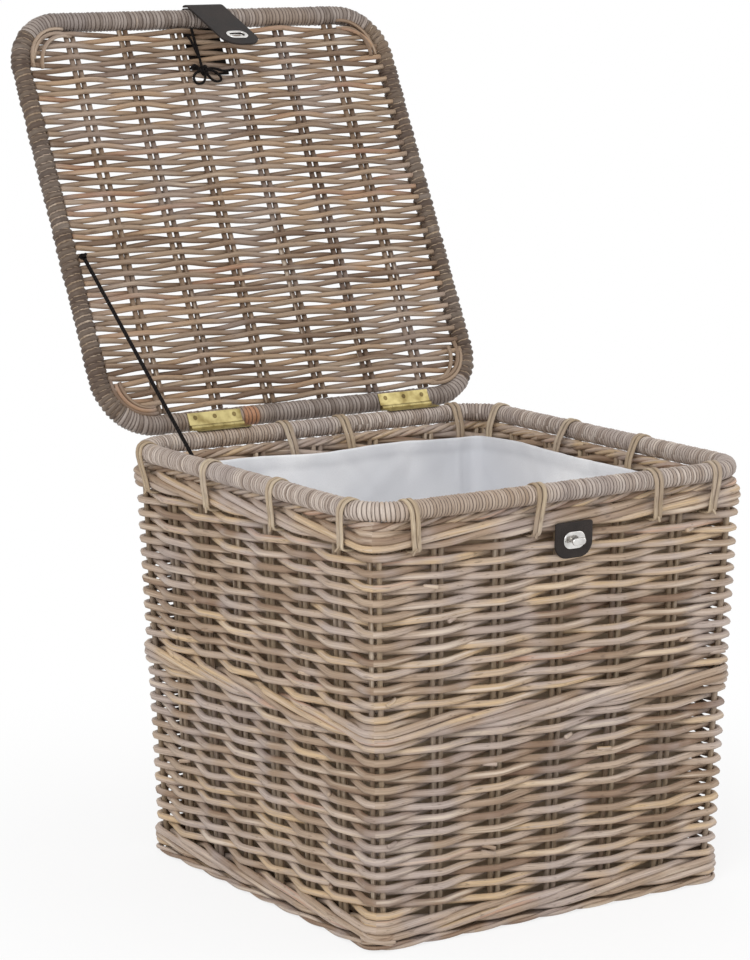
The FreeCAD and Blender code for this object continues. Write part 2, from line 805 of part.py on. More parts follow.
front_lean = math.degrees(math.atan((wall_half_at_rim - wall_half_at_floor) / rim_centre_height))
catch_face_y = -(wall_half(catch_height) + wall_reach + seat_gap)


def on_front(shape):
    """A piece of the catch, drawn on an upright wall, leant to follow the wall."""
    return turned(shape, V(catch_x, catch_face_y, catch_height), V(1, 0, 0), front_lean)


patch_low = catch_height - patch_length / 2
patch_high = catch_height + patch_length / 2
patch_corners = [
    V(catch_x - patch_width / 2, catch_face_y, patch_low),
    V(catch_x + patch_width / 2, catch_face_y, patch_low),
    V(catch_x + patch_width / 2, catch_face_y, patch_high),
    V(catch_x - patch_width / 2, catch_face_y, patch_high),
]
patch_radii = [patch_bottom_radius, patch_bottom_radius, patch_top_radius, patch_top_radius]
catch_patch = Part.Face(rounded_outline(patch_corners, patch_radii)).extrude(V(0, -patch_thickness, 0))
plate_back_y = catch_face_y - patch_thickness
plate_outline = slot_outline(plate_length, plate_width, V(catch_x, plate_back_y, catch_height))
catch_plate = Part.Face(plate_outline).extrude(V(0, -plate_thickness, 0))
catch_depth = patch_thickness + plate_thickness
bore_start = V(catch_x, catch_face_y, catch_height)
neck_bore = Part.makeCylinder(knob_neck_dia / 2 + turn_clearance, catch_depth, bore_start, V(0, -1, 0))
rivet_face_y = plate_back_y - plate_thickness
rivets = []
for hand in (-1, 1):
    x = catch_x + hand * (plate_length / 2 - rivet_head_dia / 2 - 1)
    shank_start = V(x, catch_face_y, catch_height)
    shank = Part.makeCylinder(rivet_shank_dia / 2, catch_depth, shank_start, V(0, -1, 0))
    catch_patch = catch_patch.cut(shank)
    catch_plate = catch_plate.cut(shank)
    head_start = V(x, rivet_face_y, catch_height)
    head = Part.makeCylinder(rivet_head_dia / 2, rivet_head_height, head_start, V(0, -1, 0))
    rivets.append(on_front(shank.fuse(head).removeSplitter().Solids[0]))
export("catch_patch", [on_front(catch_patch.cut(neck_bore).Solids[0])])
export("catch_plate", [on_front(catch_plate.cut(neck_bore).Solids[0])])
export("catch_rivets", rivets)

neck_length = catch_depth + knob_neck_length
neck = Part.makeCylinder(knob_neck_dia / 2, neck_length, bore_start, V(0, -1, 0))
knob_face = V(catch_x, catch_face_y - neck_length, catch_height)
knob_outline = slot_outline(knob_length, knob_width, knob_face)
knob_head = Part.Face(knob_outline).extrude(V(0, -knob_thickness, 0))
export("turn_knob", [on_front(neck.fuse(knob_head).removeSplitter().Solids[0])])


# Stay cord between the lid's left side and the rim's left side

stay_seat = stay_knot_dia / 2 + seat_gap
lid_tilt = math.radians(stay_lid_tilt)
rim_tilt = math.radians(stay_rim_tilt)
lid_reach = lid_radius + stay_seat
rim_reach = rim_radius + stay_seat
knot_on_lid = V(
    -lid_half + lid_reach * math.cos(lid_tilt),
    lid_back_y - stay_on_lid,
    lid_height - lid_reach * math.sin(lid_tilt),
)
open_turn = FreeCAD.Rotation(V(1, 0, 0), -lid_open_angle)
hinge_point = V(0, hinge_y, hinge_z)
upper_point = hinge_point + open_turn.multVec(knot_on_lid - hinge_point)
lower_point = V(
    -rim_half + rim_reach * math.cos(rim_tilt),
    rim_half - stay_on_rim,
    rim_centre_height - rim_reach * math.sin(rim_tilt),
)
stay_way = (lower_point - upper_point).normalize()
half_knot = stay_knot_length / 2


def knot(point, bulge):
    """A stopper knot: a barrel on the cord's own line, drawn in at both ends."""
    ends = stay_dia / 2
    start = point - stay_way * half_knot
    lower_cone = Part.makeCone(ends, bulge, half_knot, start, stay_way)
    upper_cone = Part.makeCone(bulge, ends, half_knot, point, stay_way)
    return lower_cone.fuse(upper_cone).removeSplitter().Solids[0]


export("stay_upper_knot", [knot(upper_point, stay_knot_dia / 2)])
export("stay_lower_knot", [knot(lower_point, stay_knot_dia / 2)])
cord_start = upper_point + stay_way * half_knot
cord_length = (lower_point - upper_point).Length - stay_knot_length
export("stay_cord", [Part.makeCylinder(stay_dia / 2, cord_length, cord_start, stay_way)])
print("stay cord length", round(cord_length, 1))
print("rows", row_count, "row pitch", round(row_pitch, 3), "rod swing", round(rod_swing, 2))
print("lid rows", lid_rows, "lid swing", round(lid_swing, 2), "hinge", round(hinge_y, 2), round(hinge_z, 2))
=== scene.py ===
import math

import bpy
import numpy as np
from mathutils import Matrix, Vector


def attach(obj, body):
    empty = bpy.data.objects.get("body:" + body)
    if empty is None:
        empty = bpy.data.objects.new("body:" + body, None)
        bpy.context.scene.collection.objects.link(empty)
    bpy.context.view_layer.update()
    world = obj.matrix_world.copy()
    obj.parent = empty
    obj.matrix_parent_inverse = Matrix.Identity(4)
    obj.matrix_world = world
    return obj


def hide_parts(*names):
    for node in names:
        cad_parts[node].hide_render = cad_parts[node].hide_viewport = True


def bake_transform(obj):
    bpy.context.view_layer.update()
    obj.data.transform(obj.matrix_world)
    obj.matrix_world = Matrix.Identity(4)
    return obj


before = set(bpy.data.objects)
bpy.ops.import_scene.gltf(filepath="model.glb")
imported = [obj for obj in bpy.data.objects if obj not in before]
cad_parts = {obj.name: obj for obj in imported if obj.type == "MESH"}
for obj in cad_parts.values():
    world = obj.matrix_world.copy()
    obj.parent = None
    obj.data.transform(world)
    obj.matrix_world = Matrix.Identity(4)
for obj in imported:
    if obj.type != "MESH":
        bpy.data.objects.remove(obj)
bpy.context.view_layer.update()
mm = 0.001
upright = (0, 0, 1)
sideNames = ("front", "right", "back", "left")
cornerSigns = ((-1, -1), (1, -1), (1, 1), (-1, 1))
dice = np.random.default_rng(41)  # seeded, so every run weaves the same basket
print("frame loaded", len(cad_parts), "nodes")


# every new piece is a grid of points in millimetres: k strips of n by m

def addGrid(name, pts, closeU=True, closeV=True, caps="", along=None, tone=None):
    # faces join each point i, j to its neighbours i + 1 and j + 1; caps close the start, the end or both
    k, n, m = pts.shape[:3]
    iCount, jCount = n if closeU else n - 1, m if closeV else m - 1
    strip, i, j = np.meshgrid(np.arange(k), np.arange(iCount), np.arange(jCount), indexing="ij")
    strip, i, j = strip.ravel(), i.ravel(), j.ravel()
    iNext, jNext = np.stack([i, i + 1, i + 1, i], 1), np.stack([j, j, j + 1, j + 1], 1)
    loops = ((strip[:, None] * n + iNext % n) * m + jNext % m).ravel()
    if along is None:
        along = np.tile(np.arange(n + 1) / n, (k, 1))
    uv = np.stack([along[strip[:, None], iNext], jNext / m], -1).reshape(-1, 2)
    if tone is None:
        tone = np.full((k, n), 0.5)
    faceTone, starts = tone[strip, i], np.arange(len(strip)) * 4
    ring, foot = np.arange(m), np.arange(k)[:, None] * n * m
    for end, order, at in (("start", foot + ring, 0), ("end", foot + (n - 1) * m + ring[::-1], n - 1)):
        if caps in (end, "both"):
            starts = np.concatenate([starts, len(loops) + np.arange(k) * m])
            loops = np.concatenate([loops, order.ravel()])
            uv = np.concatenate([uv, np.full((k * m, 2), 0.3)])  # an end shows one plain spot of the map
            faceTone = np.concatenate([faceTone, tone[:, at]])
    mesh = bpy.data.meshes.new(name)
    mesh.vertices.add(k * n * m)
    mesh.vertices.foreach_set("co", (pts.reshape(-1) * mm).astype(np.float32))
    mesh.loops.add(len(loops))
    mesh.polygons.add(len(starts))
    mesh.polygons.foreach_set("loop_start", starts.astype(np.int32))
    mesh.polygons.foreach_set("vertices", loops.astype(np.int32))
    mesh.uv_layers.new(name="rod").data.foreach_set("uv", uv.astype(np.float32).ravel())
    mesh.attributes.new("tone", "FLOAT", "FACE").data.foreach_set("value", faceTone.astype(np.float32))
    mesh.polygons.foreach_set("use_smooth", np.ones(len(starts), bool))
    mesh.update(calc_edges=True)
    mesh.validate()
    piece = bpy.data.objects.new(name, mesh)
    bpy.context.scene.collection.objects.link(piece)
    return piece


def settle(piece, body, slot, finish, *nodes):
    # the piece rides on a body, stands for its CAD nodes and takes its finish
    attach(piece, body)
    if nodes:
        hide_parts(*nodes)
    piece.data.materials.append(finish)
    return piece


def unit(a):
    # vectors brought to length 1
    return a / np.linalg.norm(a, axis=-1, keepdims=True)


def tube(line, ref, rx, ry, sides, closed, square=1.0):
    # a ring carried along each line: rx is its reach across ref, ry its reach along ref
    way = np.roll(line, -1, 1) - np.roll(line, 1, 1) if closed else np.gradient(line, axis=1)
    way = unit(way)
    out = unit(np.cross(way, np.broadcast_to(ref, line.shape)))
    side = np.cross(out, way)
    a = 2 * np.pi * np.arange(sides) / sides + np.pi
    c, s = np.cos(a), np.sin(a)
    c, s = np.sign(c) * np.abs(c) ** square, np.sign(s) * np.abs(s) ** square
    shape = (*line.shape[:2], sides)
    rx, ry = [np.broadcast_to(r if np.ndim(r) != 2 else r[..., None], shape)[..., None] for r in (rx, ry)]
    return line[:, :, None] + rx * c[:, None] * out[:, :, None] + ry * s[:, None] * side[:, :, None]


def lengthAlong(line, closed):
    # metres travelled along each line, with the way back to the start as the last figure
    step = np.linalg.norm(np.diff(line, axis=1, append=line[:, :1] if closed else line[:, -1:]), axis=-1)
    return np.concatenate([np.zeros((len(line), 1)), np.cumsum(step, 1)], 1) * mm


def addTube(name, pts, closed, along, tone=None, shape=None):
    # a tube has flat ends where it is open; shape moves the finished points
    pts = pts if shape is None else shape(pts)
    return addGrid(name, pts, closeU=closed, caps="" if closed else "both", along=along, tone=tone)


def addRods(name, line, dia, closed=False, tone=None, sides=8, ref=upright, shape=None):
    # round rods along the lines
    pts = tube(line, ref, dia / 2, dia / 2, sides, closed)
    return addTube(name, pts, closed, lengthAlong(line, closed), tone, shape)


def wander(x, seed, waves):
    # a smooth random line about 1 high: a sum of whole sine waves, so it closes from 0 to 1
    pick = np.random.default_rng(seed)
    total = np.zeros(np.shape(x))
    for w in range(1, waves + 1):
        total = total + pick.normal() * np.sin(2 * np.pi * (w * x + pick.random())) / math.sqrt(waves)
    return total


def smoothRound(values, width):
    # a weighted running mean round closed rows of values
    weight = np.hanning(width + 2)[1:-1]
    return sum(w * np.roll(values, j - width // 2, -1) for j, w in enumerate(weight / weight.sum()))


def travelled(points):
    # the way travelled from the first point to each
    return np.concatenate([[0], np.cumsum(np.linalg.norm(np.diff(points, axis=0), axis=1))])


def atHeight(xy, z):
    # flat points lifted to one height
    return np.pad(xy, ((0, 0), (0, 1)), constant_values=z)


def rodTones(strips, n, pieces, behind=None):
    # each strip is laid from a few rods, each with its own colour number
    # behind gives the places along each strip where their joins are hidden
    tone = np.empty((strips, n))
    for s in range(strips):
        if behind is None:
            cut = dice.integers(0, n, pieces)
        else:
            cut = dice.choice(behind[s], pieces, replace=False)
        tone[s] = dice.random(pieces)[np.searchsorted(np.sort(cut), np.arange(n), "right") % pieces]
    return tone


# shader maths: a wire is a socket that can be added and multiplied

class Wire:
    def __init__(self, tree, socket=None):
        self.tree, self.socket = tree, socket

    def node(self, kind, settings=None, out=0, **links):
        made = self.tree.nodes.new("ShaderNode" + kind)
        for key, value in (settings or {}).items():
            if key == "stops":
                ramp = made.color_ramp.elements
                while len(ramp) < len(value):
                    ramp.new(0.5)
                for stop, (place, colour) in zip(ramp, value):
                    stop.position, stop.color = place, colour
            else:
                setattr(made, key, value)
        for key, value in links.items():
            socket = made.inputs[int(key[1:])] if key[1:].isdigit() else made.inputs[key.replace("_", " ")]
            if isinstance(value, Wire):
                self.tree.links.new(value.socket, socket)
            else:
                socket.default_value = value
        return Wire(self.tree, made.outputs[out])

    def math(self, operation, a, b=0.0):
        return self.node("Math", {"operation": operation}, i0=a, i1=b)

    def __add__(self, b):
        return self.math("ADD", self, b)

    def __radd__(self, b):
        return self.math("ADD", b, self)

    def __sub__(self, b):
        return self.math("SUBTRACT", self, b)

    def __rsub__(self, b):
        return self.math("SUBTRACT", b, self)

    def __mul__(self, b):
        return self.math("MULTIPLY", self, b)

    def __rmul__(self, b):
        return self.math("MULTIPLY", b, self)

    def place(self):
        # object coordinates, in metres
        return self.node("TexCoord", out=3)

    def rodMap(self):
        # metres along a rod, and the share of the way round it
        mapped = self.node("UVMap", {"uv_map": "rod"})
        return self.node("SeparateXYZ", Vector=mapped), self.node("SeparateXYZ", out=1, Vector=mapped)

    def noise(self, vector, scale, detail):
        return self.node("TexNoise", Vector=vector, Scale=scale, Detail=detail)

    def span(self, low, high):
        # 0 below low, 1 above high, soft between
        return self.node("MapRange", {"interpolation_type": "SMOOTHSTEP"}, Value=self, i1=low, i2=high)

    def blend(self, a, b):
        # colour a where this is 0, colour b where it is 1
        return self.node("Mix", {"data_type": "RGBA"}, out=2, i0=self, i6=a, i7=b)

    def ramp(self, stops):
        return self.node("ValToRGB", {"stops": stops}, Fac=self)


def newFinish(name):
    finish = bpy.data.materials.new(name)
    finish.use_nodes = True
    tree = finish.node_tree
    return finish, Wire(tree), next(n for n in tree.nodes if n.type == "BSDF_PRINCIPLED")


def plug(shader, **sockets):
    for key, value in sockets.items():
        socket = shader.inputs[key.replace("_", " ")]
        if isinstance(value, Wire):
            value.tree.links.new(value.socket, socket)
        else:
            socket.default_value = value


def hue(r, g, b):
    # a colour as seen on screen, 0 to 255, made linear
    c = np.array([r, g, b]) / 255
    return (*np.where(c <= 0.04045, c / 12.92, ((c + 0.055) / 1.055) ** 2.4).tolist(), 1.0)


def shades(*rows):
    # a ramp's stops: each place from 0 to 1 with its colour
    return [(place, hue(*colour)) for place, *colour in rows]


# rattan: dry rods in greys and tans, streaked along their length

def rattan(name, look):
    finish, w, shader = newFinish(name)
    place = w.place()
    if look.get("solid"):  # a plain rod with no map of its own is streaked by its place
        u, v = w.node("SeparateXYZ", Vector=place), w.node("SeparateXYZ", out=2, Vector=place) * 40
        tone = w.noise(place, 8, 1)
    else:
        u, v = w.rodMap()
        tone = w.node("Attribute", {"attribute_name": "tone"}, out=2)
    if look.get("coils"):  # each turn of a wrapping has its own colour number, and its grain runs round
        turn = w.math("FLOOR", u + v)
        own = w.node("TexWhiteNoise", {"noise_dimensions": "1D"}, W=turn + tone * 77)
        tone = own * 0.75 + w.noise(place, 13, 1) * 0.3
        part = u + v - turn
        groove = w.math("ABSOLUTE", part * 2 - 1).span(0.58, 0.96)
        u, v = v * 0.06, part * 0.5
    cosV, sinV = w.math("COSINE", v * (2 * math.pi)), w.math("SINE", v * (2 * math.pi))

    def grain(lengthwise, across, shift, detail):
        # noise drawn out along the rod, different for each colour number
        at = w.node("CombineXYZ", X=u * lengthwise, Y=cosV * across, Z=sinV * across + tone * shift)
        return w.noise(at, 1, detail)

    streak, fibre = grain(look["streak"], 0.7, 57, 3), grain(look["streak"] * 2.5, 5.5, 31, 3)
    fleck, patch = grain(90, 1.6, 13, 2), w.noise(place, look["patch"], 2)
    colour = (tone * 0.86 + streak * 0.6 - 0.22).ramp(look["stops"])
    colour = (patch.span(0.46, 0.66) * look["grey"]).blend(colour, look["greyHue"])
    colour = (fleck.span(0.62, 0.72) * look["fleck"]).blend(colour, look["dark"])
    colour = (fibre.span(0.35, 0.72) * look["fibre"]).blend(colour, look["dark"])
    # pale streaks along the grain: partly the rod's own paler fibres, partly painted highlight
    colour = (streak.span(0.56, 0.76) * look["pale"]).blend(colour, look["light"])
    if look.get("coils"):  # tan stretches, one patch of fresh peel, and painted shade in the grooves between the turns
        colour = (w.noise(place, 4.5, 1).span(0.52, 0.64) * look["tan"]).blend(colour, look["tanHue"])
        near = w.node("VectorMath", {"operation": "DISTANCE"}, out=1, i0=place, i1=look["fresh"])
        colour = ((1 - near.span(0.009, 0.014)) * 0.7).blend(colour, look["freshHue"])
        # painted shade: each turn is darkened towards its edges, in the grooves between the turns
        colour = (groove * look["grooveShade"]).blend(colour, look["dark"])
    bump = w.node("Bump", Strength=0.5, Distance=look["relief"], Height=fibre + streak * 0.6)
    plug(shader, Base_Color=colour, Roughness=look["rough"] + fibre * 0.22, Normal=bump,
         Specular_IOR_Level=look["gloss"])
    return finish


rodLook = dict(streak=9, patch=16, grey=0.6, pale=0.65, fleck=0.5, fibre=0.42, rough=0.46, gloss=0.45,
               relief=0.0007, dark=hue(86, 66, 52), light=hue(222, 206, 186), greyHue=hue(182, 169, 164),
               stops=shades((0.0, 122, 94, 74), (0.22, 156, 132, 110), (0.45, 182, 160, 138),
                            (0.66, 192, 174, 160), (0.82, 204, 176, 138), (0.93, 190, 172, 158),
                            (1.0, 188, 144, 116)))
stakeLook = dict(rodLook, grey=0.3,
                 stops=shades((0.0, 110, 88, 68), (0.5, 150, 130, 106), (1.0, 172, 152, 126)))
lidLook = dict(rodLook, grey=0.5, pale=0.5, light=hue(206, 188, 166), greyHue=hue(166, 151, 142),
               stops=shades((0.0, 104, 80, 62), (0.3, 140, 116, 94), (0.6, 164, 142, 120),
                            (0.85, 176, 146, 116), (1.0, 158, 116, 92)))
lidStakeLook = dict(stakeLook, stops=shades((0.0, 92, 70, 54), (0.5, 122, 98, 76), (1.0, 146, 122, 98)))
peelLook = dict(rodLook, coils=True, streak=30, grey=0.6, pale=0.3, tan=0.45, grooveShade=0.86,
                dark=hue(70, 54, 44), greyHue=hue(172, 160, 155), tanHue=hue(162, 136, 108),
                fresh=(-0.066, 0.247, 0.446), freshHue=hue(178, 118, 74),
                stops=shades((0.0, 124, 106, 93), (0.3, 168, 151, 138), (0.6, 197, 182, 171),
                             (0.85, 214, 200, 188), (1.0, 194, 168, 142)))
lidPeelLook = dict(peelLook, tan=0.3, pale=0.2, greyHue=hue(138, 128, 124), light=hue(190, 176, 164),
                   stops=shades((0.0, 98, 85, 77), (0.3, 134, 121, 112), (0.6, 157, 145, 137),
                                (0.85, 170, 158, 150), (1.0, 156, 136, 117)))
coilLook = dict(peelLook, grey=0.35, tan=0.3, grooveShade=0.95, pale=0.2, greyHue=hue(112, 102, 94),
                light=hue(170, 152, 134),
                stops=shades((0.0, 57, 43, 33), (0.4, 86, 69, 57), (0.8, 107, 92, 78),
                             (1.0, 124, 112, 103)))
lashLook = dict(rodLook, grey=0.25, pale=0.5, streak=30, light=hue(214, 198, 168),
                stops=shades((0.0, 152, 131, 106), (0.5, 180, 160, 133), (1.0, 194, 177, 152)))
rodFinish, stakeFinish = rattan("wall rattan", rodLook), rattan("stake rattan", stakeLook)
lidFinish, lashFinish = rattan("lid rattan", lidLook), rattan("lashing", lashLook)
peelFinish, coilFinish = rattan("peel wrapping", peelLook), rattan("lid side wrapping", coilLook)
lidPeelFinish, lidStakeFinish = rattan("lid peel wrapping", lidPeelLook), rattan("lid stakes", lidStakeLook)
poleFinish = rattan("plain pole", dict(stakeLook, solid=True))
print("rattan finishes made")


# camera at the photograph's angle

view = dict(target=(-0.0365, 0.05, 0.403), distance=3.3649, azimuth=-33.753, elevation=10.259, roll=-0.076,
            lens=122.81, sensor=36, near=0.05, far=50)
camera = bpy.data.objects.new("camera", bpy.data.cameras.new("camera"))
bpy.context.scene.collection.objects.link(camera)
az, el = math.radians(view["azimuth"]), math.radians(view["elevation"])
back = Vector((math.sin(az) * math.cos(el), -math.cos(az) * math.cos(el), math.sin(el)))
roll = Matrix.Rotation(math.radians(view["roll"]), 3, "Z").to_quaternion()
camera.location = Vector(view["target"]) + back * view["distance"]
camera.rotation_euler = ((-back).to_track_quat("-Z", "Y") @ roll).to_euler()
camera.data.lens, camera.data.sensor_width = view["lens"], view["sensor"]
camera.data.clip_start, camera.data.clip_end = view["near"], view["far"]
bpy.context.scene.camera = camera


# lid pieces are laid out closed, then leant back about the hinge line

hinge = dict(y=236.0, z=441.5, open=116.5)


def turnX(pts, y, z, degrees):
    # turns points about a line along x through y, z
    c, s = math.cos(math.radians(degrees)), math.sin(math.radians(degrees))
    a, b = pts[..., 1] - y, pts[..., 2] - z
    return np.stack([pts[..., 0], y + a * c - b * s, z + a * s + b * c], -1)


def openLid(pts):
    # points of the closed lid, turned back to where it stands open
    return turnX(pts, hinge["y"], hinge["z"], -hinge["open"])


# black cords

def cordFinish():
    finish, w, shader = newFinish("black cord")
    u, v = w.rodMap()
    lay = w.math("SINE", (u * 260 + v * 2) * (2 * math.pi))
    fuzz = w.noise(w.place(), 900, 2)
    colour = (lay * 0.35 + fuzz * 0.5).span(0.0, 0.7).blend(hue(10, 8, 8), hue(30, 24, 22))
    plug(shader, Base_Color=colour, Roughness=0.78 + fuzz * 0.15, Specular_IOR_Level=0.15,
         Normal=w.node("Bump", Strength=0.6, Distance=0.0005, Height=lay * 0.5 + fuzz * 0.4))
    return finish


blackCord = cordFinish()
stay = dict(dia=4.0, sides=12, lid=(-219.3, 329.8, 619.33), rim=(-212.2, 105.0, 422.6), inset=4, lead=28,
            points=10, knot=1.15, strand=3.4, knotSides=10, follow=0.8)


def splinePoints(points, count):
    # the smooth line that a NURBS curve draws from a few control points
    curve = bpy.data.curves.new("route", "CURVE")
    curve.dimensions = "3D"
    spline = curve.splines.new("NURBS")
    spline.points.add(len(points) - 1)
    for point, place in zip(spline.points, points):
        point.co = (*[float(x) * mm for x in place], 1)
    spline.order_u = 3
    spline.use_endpoint_u = True
    spline.resolution_u = count
    holder = bpy.data.objects.new("route", curve)
    bpy.context.scene.collection.objects.link(holder)
    line = bpy.data.meshes.new_from_object(holder.evaluated_get(bpy.context.evaluated_depsgraph_get()))
    found = np.empty(len(line.vertices) * 3, np.float32)
    line.vertices.foreach_get("co", found)
    bpy.data.objects.remove(holder)
    return found.reshape(-1, 3).astype(float) / mm


def knotLine(centre, axis, size, count=66):
    # a trefoil: sin t + 2 sin 2t, cos t - 2 cos 2t, -sin 3t, laid square to the axis
    t = np.linspace(0, 2 * np.pi, count, endpoint=False)
    e3 = unit(np.array(axis, float))
    e1 = unit(np.cross(e3, (0.3, 1, 0.2)))
    e2 = np.cross(e3, e1)
    x, y, z = np.sin(t) + 2 * np.sin(2 * t), np.cos(t) - 2 * np.cos(2 * t), -np.sin(3 * t)
    return (np.array(centre) + size * (x[:, None] * e1 + y[:, None] * e2 + z[:, None] * e3))[None]


low, high = np.array(stay["rim"]), np.array(stay["lid"])
stayWay, stayLength = unit(high - low), np.linalg.norm(high - low)
stayRoute = [low + stayWay * d for d in (stay["inset"], stay["lead"], stayLength - stay["lead"],
                                         stayLength - stay["inset"])]
stayLine = splinePoints(stayRoute, stay["points"])[None]
stayCord = addRods("stayCord", stayLine, stay["dia"], sides=stay["sides"], ref=(1, 0, 0))
for name, centre, body, node in (("stayRimKnot", low, "basket", "stay_lower_knot"),
                                 ("stayLidKnot", high, "lid", "stay_upper_knot")):
    knot = knotLine(centre, stayWay, stay["knot"])
    piece = addRods(name, knot, stay["strand"], True, sides=stay["knotSides"], ref=stayWay)
    settle(piece, body, "black_cord", blackCord, node)
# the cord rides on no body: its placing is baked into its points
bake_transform(stayCord)
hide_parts("stay_cord")
stayCord.data.materials.append(blackCord)
print("stay cord tied")


# wall of paired stakes and woven rods

wall = dict(foot=203.5, spread=14.5, height=430.0, corner=10.2, pairs=(5, 6, 5, 6), pitch=7.0431,
            rodDia=7.35, swing=8.3, round=0.975, tighten=0.22, loose=0.06, uneven=0.5, joins=6, samples=10,
            sides=8, lowerFloor=29.43, lowerRows=25, upperFloor=226.64, upperRows=23)
drift = dict(size=1.8, low=8, high=412, fade=60,
             waves=((2, 310, 0.6, 0.6), (5, -190, 2.1, 0.5), (11, 120, 0, 0.4)))
stationCount = sum(wall["pairs"]) + 4


def wallHalf(z):
    # half the wall's width at a height: it leans out evenly from the foot
    return wall["foot"] + wall["spread"] * np.asarray(z, float) / wall["height"]


def wallLine(s, half):
    # the way round a square with rounded corners, from the middle of the front left corner, and its normal
    rc = wall["corner"]
    quarter, lead, straight = 2 * (half - rc) + math.pi / 2 * rc, math.pi / 4 * rc, 2 * (half - rc)
    side = np.floor(s / quarter)
    r = s - side * quarter
    phi = -math.pi / 4 + np.minimum(r, lead) / rc + np.maximum(r - lead - straight, 0) / rc
    along = np.clip(r - lead, 0, straight) - (half - rc) + rc * np.sin(phi)
    out = half - rc + rc * np.cos(phi)
    a = side * math.pi / 2
    at = np.stack([along * np.cos(a) + out * np.sin(a), along * np.sin(a) - out * np.cos(a)], -1)
    normal = np.stack([np.sin(phi) * np.cos(a) + np.cos(phi) * np.sin(a),
                       np.sin(phi) * np.sin(a) - np.cos(phi) * np.cos(a)], -1)
    return at, normal


def stationTravel(half):
    # how far round each stake pair stands: a pair in each corner, the others evenly along the sides
    half = np.asarray(half, float)[..., None]
    rc = wall["corner"]
    quarter, stops = 2 * (half - rc) + math.pi / 2 * rc, []
    for side, pairs in enumerate(wall["pairs"]):
        step = 2 * np.arange(1, pairs + 1) / (pairs + 1) - 1
        stops += [side * quarter, side * quarter + math.pi / 4 * rc + half * step + half - rc]
    return np.concatenate(stops + [4 * quarter], -1)


def travelAt(q, half):
    # travel at station number q, which may lie between two stations
    stops = stationTravel(half)
    near = np.minimum(np.floor(q).astype(int), stops.shape[-1] - 2)
    return stops[..., near] + (q - near) * (stops[..., near + 1] - stops[..., near])


def rowDrift(turn, z):
    # rows wander up and down together, less near the foot and the rim:
    # a sum of waves that slant round the wall
    fade = np.clip(np.minimum(z - drift["low"], drift["high"] - z) / drift["fade"], 0, 1)
    waves = sum(size * np.sin(2 * np.pi * (count * turn + z / tall) + phase)
                for count, tall, phase, size in drift["waves"])
    return drift["size"] * fade * waves


def layRods(name, q, off, z, dia, tone, sides):
    # rods round the wall: the wall's line at station q, pushed out by off, at height z
    half = wallHalf(z)
    s = travelAt(q, half.mean(1))
    z = z + rowDrift(q / stationCount, z)
    at, normal = wallLine(s, half)
    line = np.concatenate([at + normal * off[..., None], z[..., None]], -1)
    return addRods(name, line, dia, True, tone, sides)


def swingWave(phase):
    # a triangle wave with rounded turns: the angle whose sine is nearly the cosine of the phase
    return np.arcsin(wall["round"] * np.cos(phase)) / math.asin(wall["round"])


def rodDias(strips, n, dia, seed):
    # rods swell and thin a little along their way
    return np.stack([dia * (1 + 0.035 * wander(np.arange(n) / n, seed + r, 9)) for r in range(strips)])


def atCorner(q):
    # 1 at the corner pairs, falling to almost 0 at the next pairs
    corners = np.cumsum((0,) + wall["pairs"][:3]) + np.arange(4)
    gap = np.abs((q[:, None] - corners + stationCount / 2) % stationCount - stationCount / 2).min(1)
    return np.exp(-(gap / 0.45) ** 2)


def onBasket(piece, *nodes):
    # rods of the wall, the borders and the bottom share one finish
    return settle(piece, "basket", "rattan_rods", rodFinish, *nodes)


def siding(name, node, floor, rows, seed):
    # plain rows: each swings outside one pair and inside the next, and the row above it the other way
    n = stationCount * wall["samples"]
    q, row = np.arange(n) / wall["samples"], np.arange(rows)[:, None]
    z = floor + (row + 0.5) * wall["pitch"] + 0 * q
    z = z + np.stack([wall["uneven"] * wander(q / stationCount, seed + r, 14) for r in range(rows)])
    slack = 1 + wall["loose"] * wander(q / stationCount, seed, 40)
    off = wall["swing"] * swingWave(np.pi * (q + row)) * slack
    off = off * (1 - wall["tighten"] * atCorner(q))
    behind = [np.flatnonzero(np.abs(q % 2 - (1 + r) % 2) < 0.01) for r in range(rows)]
    dia, tone = rodDias(rows, n, wall["rodDia"], seed), rodTones(rows, n, wall["joins"], behind)
    onBasket(layRods(name, q, off, z, dia, tone, wall["sides"]), node)


bands = dict(rods=4, samples=12, sides=10, joins=5, uneven=0.8, leave=0.6, enter=0.4, hidden=0.8,
             bottom=8.3, middle=205.51, top=391.53)


def waling(name, node, floor, seed):
    # each rod climbs away from the near corner outside three pairs, then dips inside the fourth
    # and starts again below
    rods, n = bands["rods"], stationCount * bands["samples"]
    q, offs, heights = np.arange(n) / bands["samples"], [], []
    station = np.arange(stationCount)
    fromCorner = np.minimum(station, stationCount - station)
    for rod in range(rods):
        step = (fromCorner + rod) % rods
        inside = step == rods - 1
        level = np.where(inside, 1.5, step + 0.5) * wall["pitch"] + floor
        outer = np.where(inside, -1.0, 1.0) * wall["swing"]
        change = np.flatnonzero(inside != np.roll(inside, -1))
        stop = np.concatenate([station, change + np.where(inside[change], bands["leave"], bands["enter"])])
        put = np.concatenate([outer, 0 * change])
        lift = np.concatenate([level, np.where(inside[change], np.roll(level, -1)[change], level[change])])
        order = np.argsort(stop)
        offs.append(np.interp(q, stop[order], put[order], period=stationCount))
        heights.append(np.interp(q, stop[order], lift[order], period=stationCount))
    off, z = smoothRound(np.array(offs), 7), smoothRound(np.array(heights), 9)
    z = z + np.stack([bands["uneven"] * wander(q / stationCount, seed + 60 + r, 16) for r in range(rods)])
    behind = [np.flatnonzero(o < -wall["swing"] * bands["hidden"]) for o in off]
    dia, tone = rodDias(rods, n, wall["rodDia"], seed), rodTones(rods, n, bands["joins"], behind)
    onBasket(layRods(name, q, off, z, dia, tone, bands["sides"]), node)


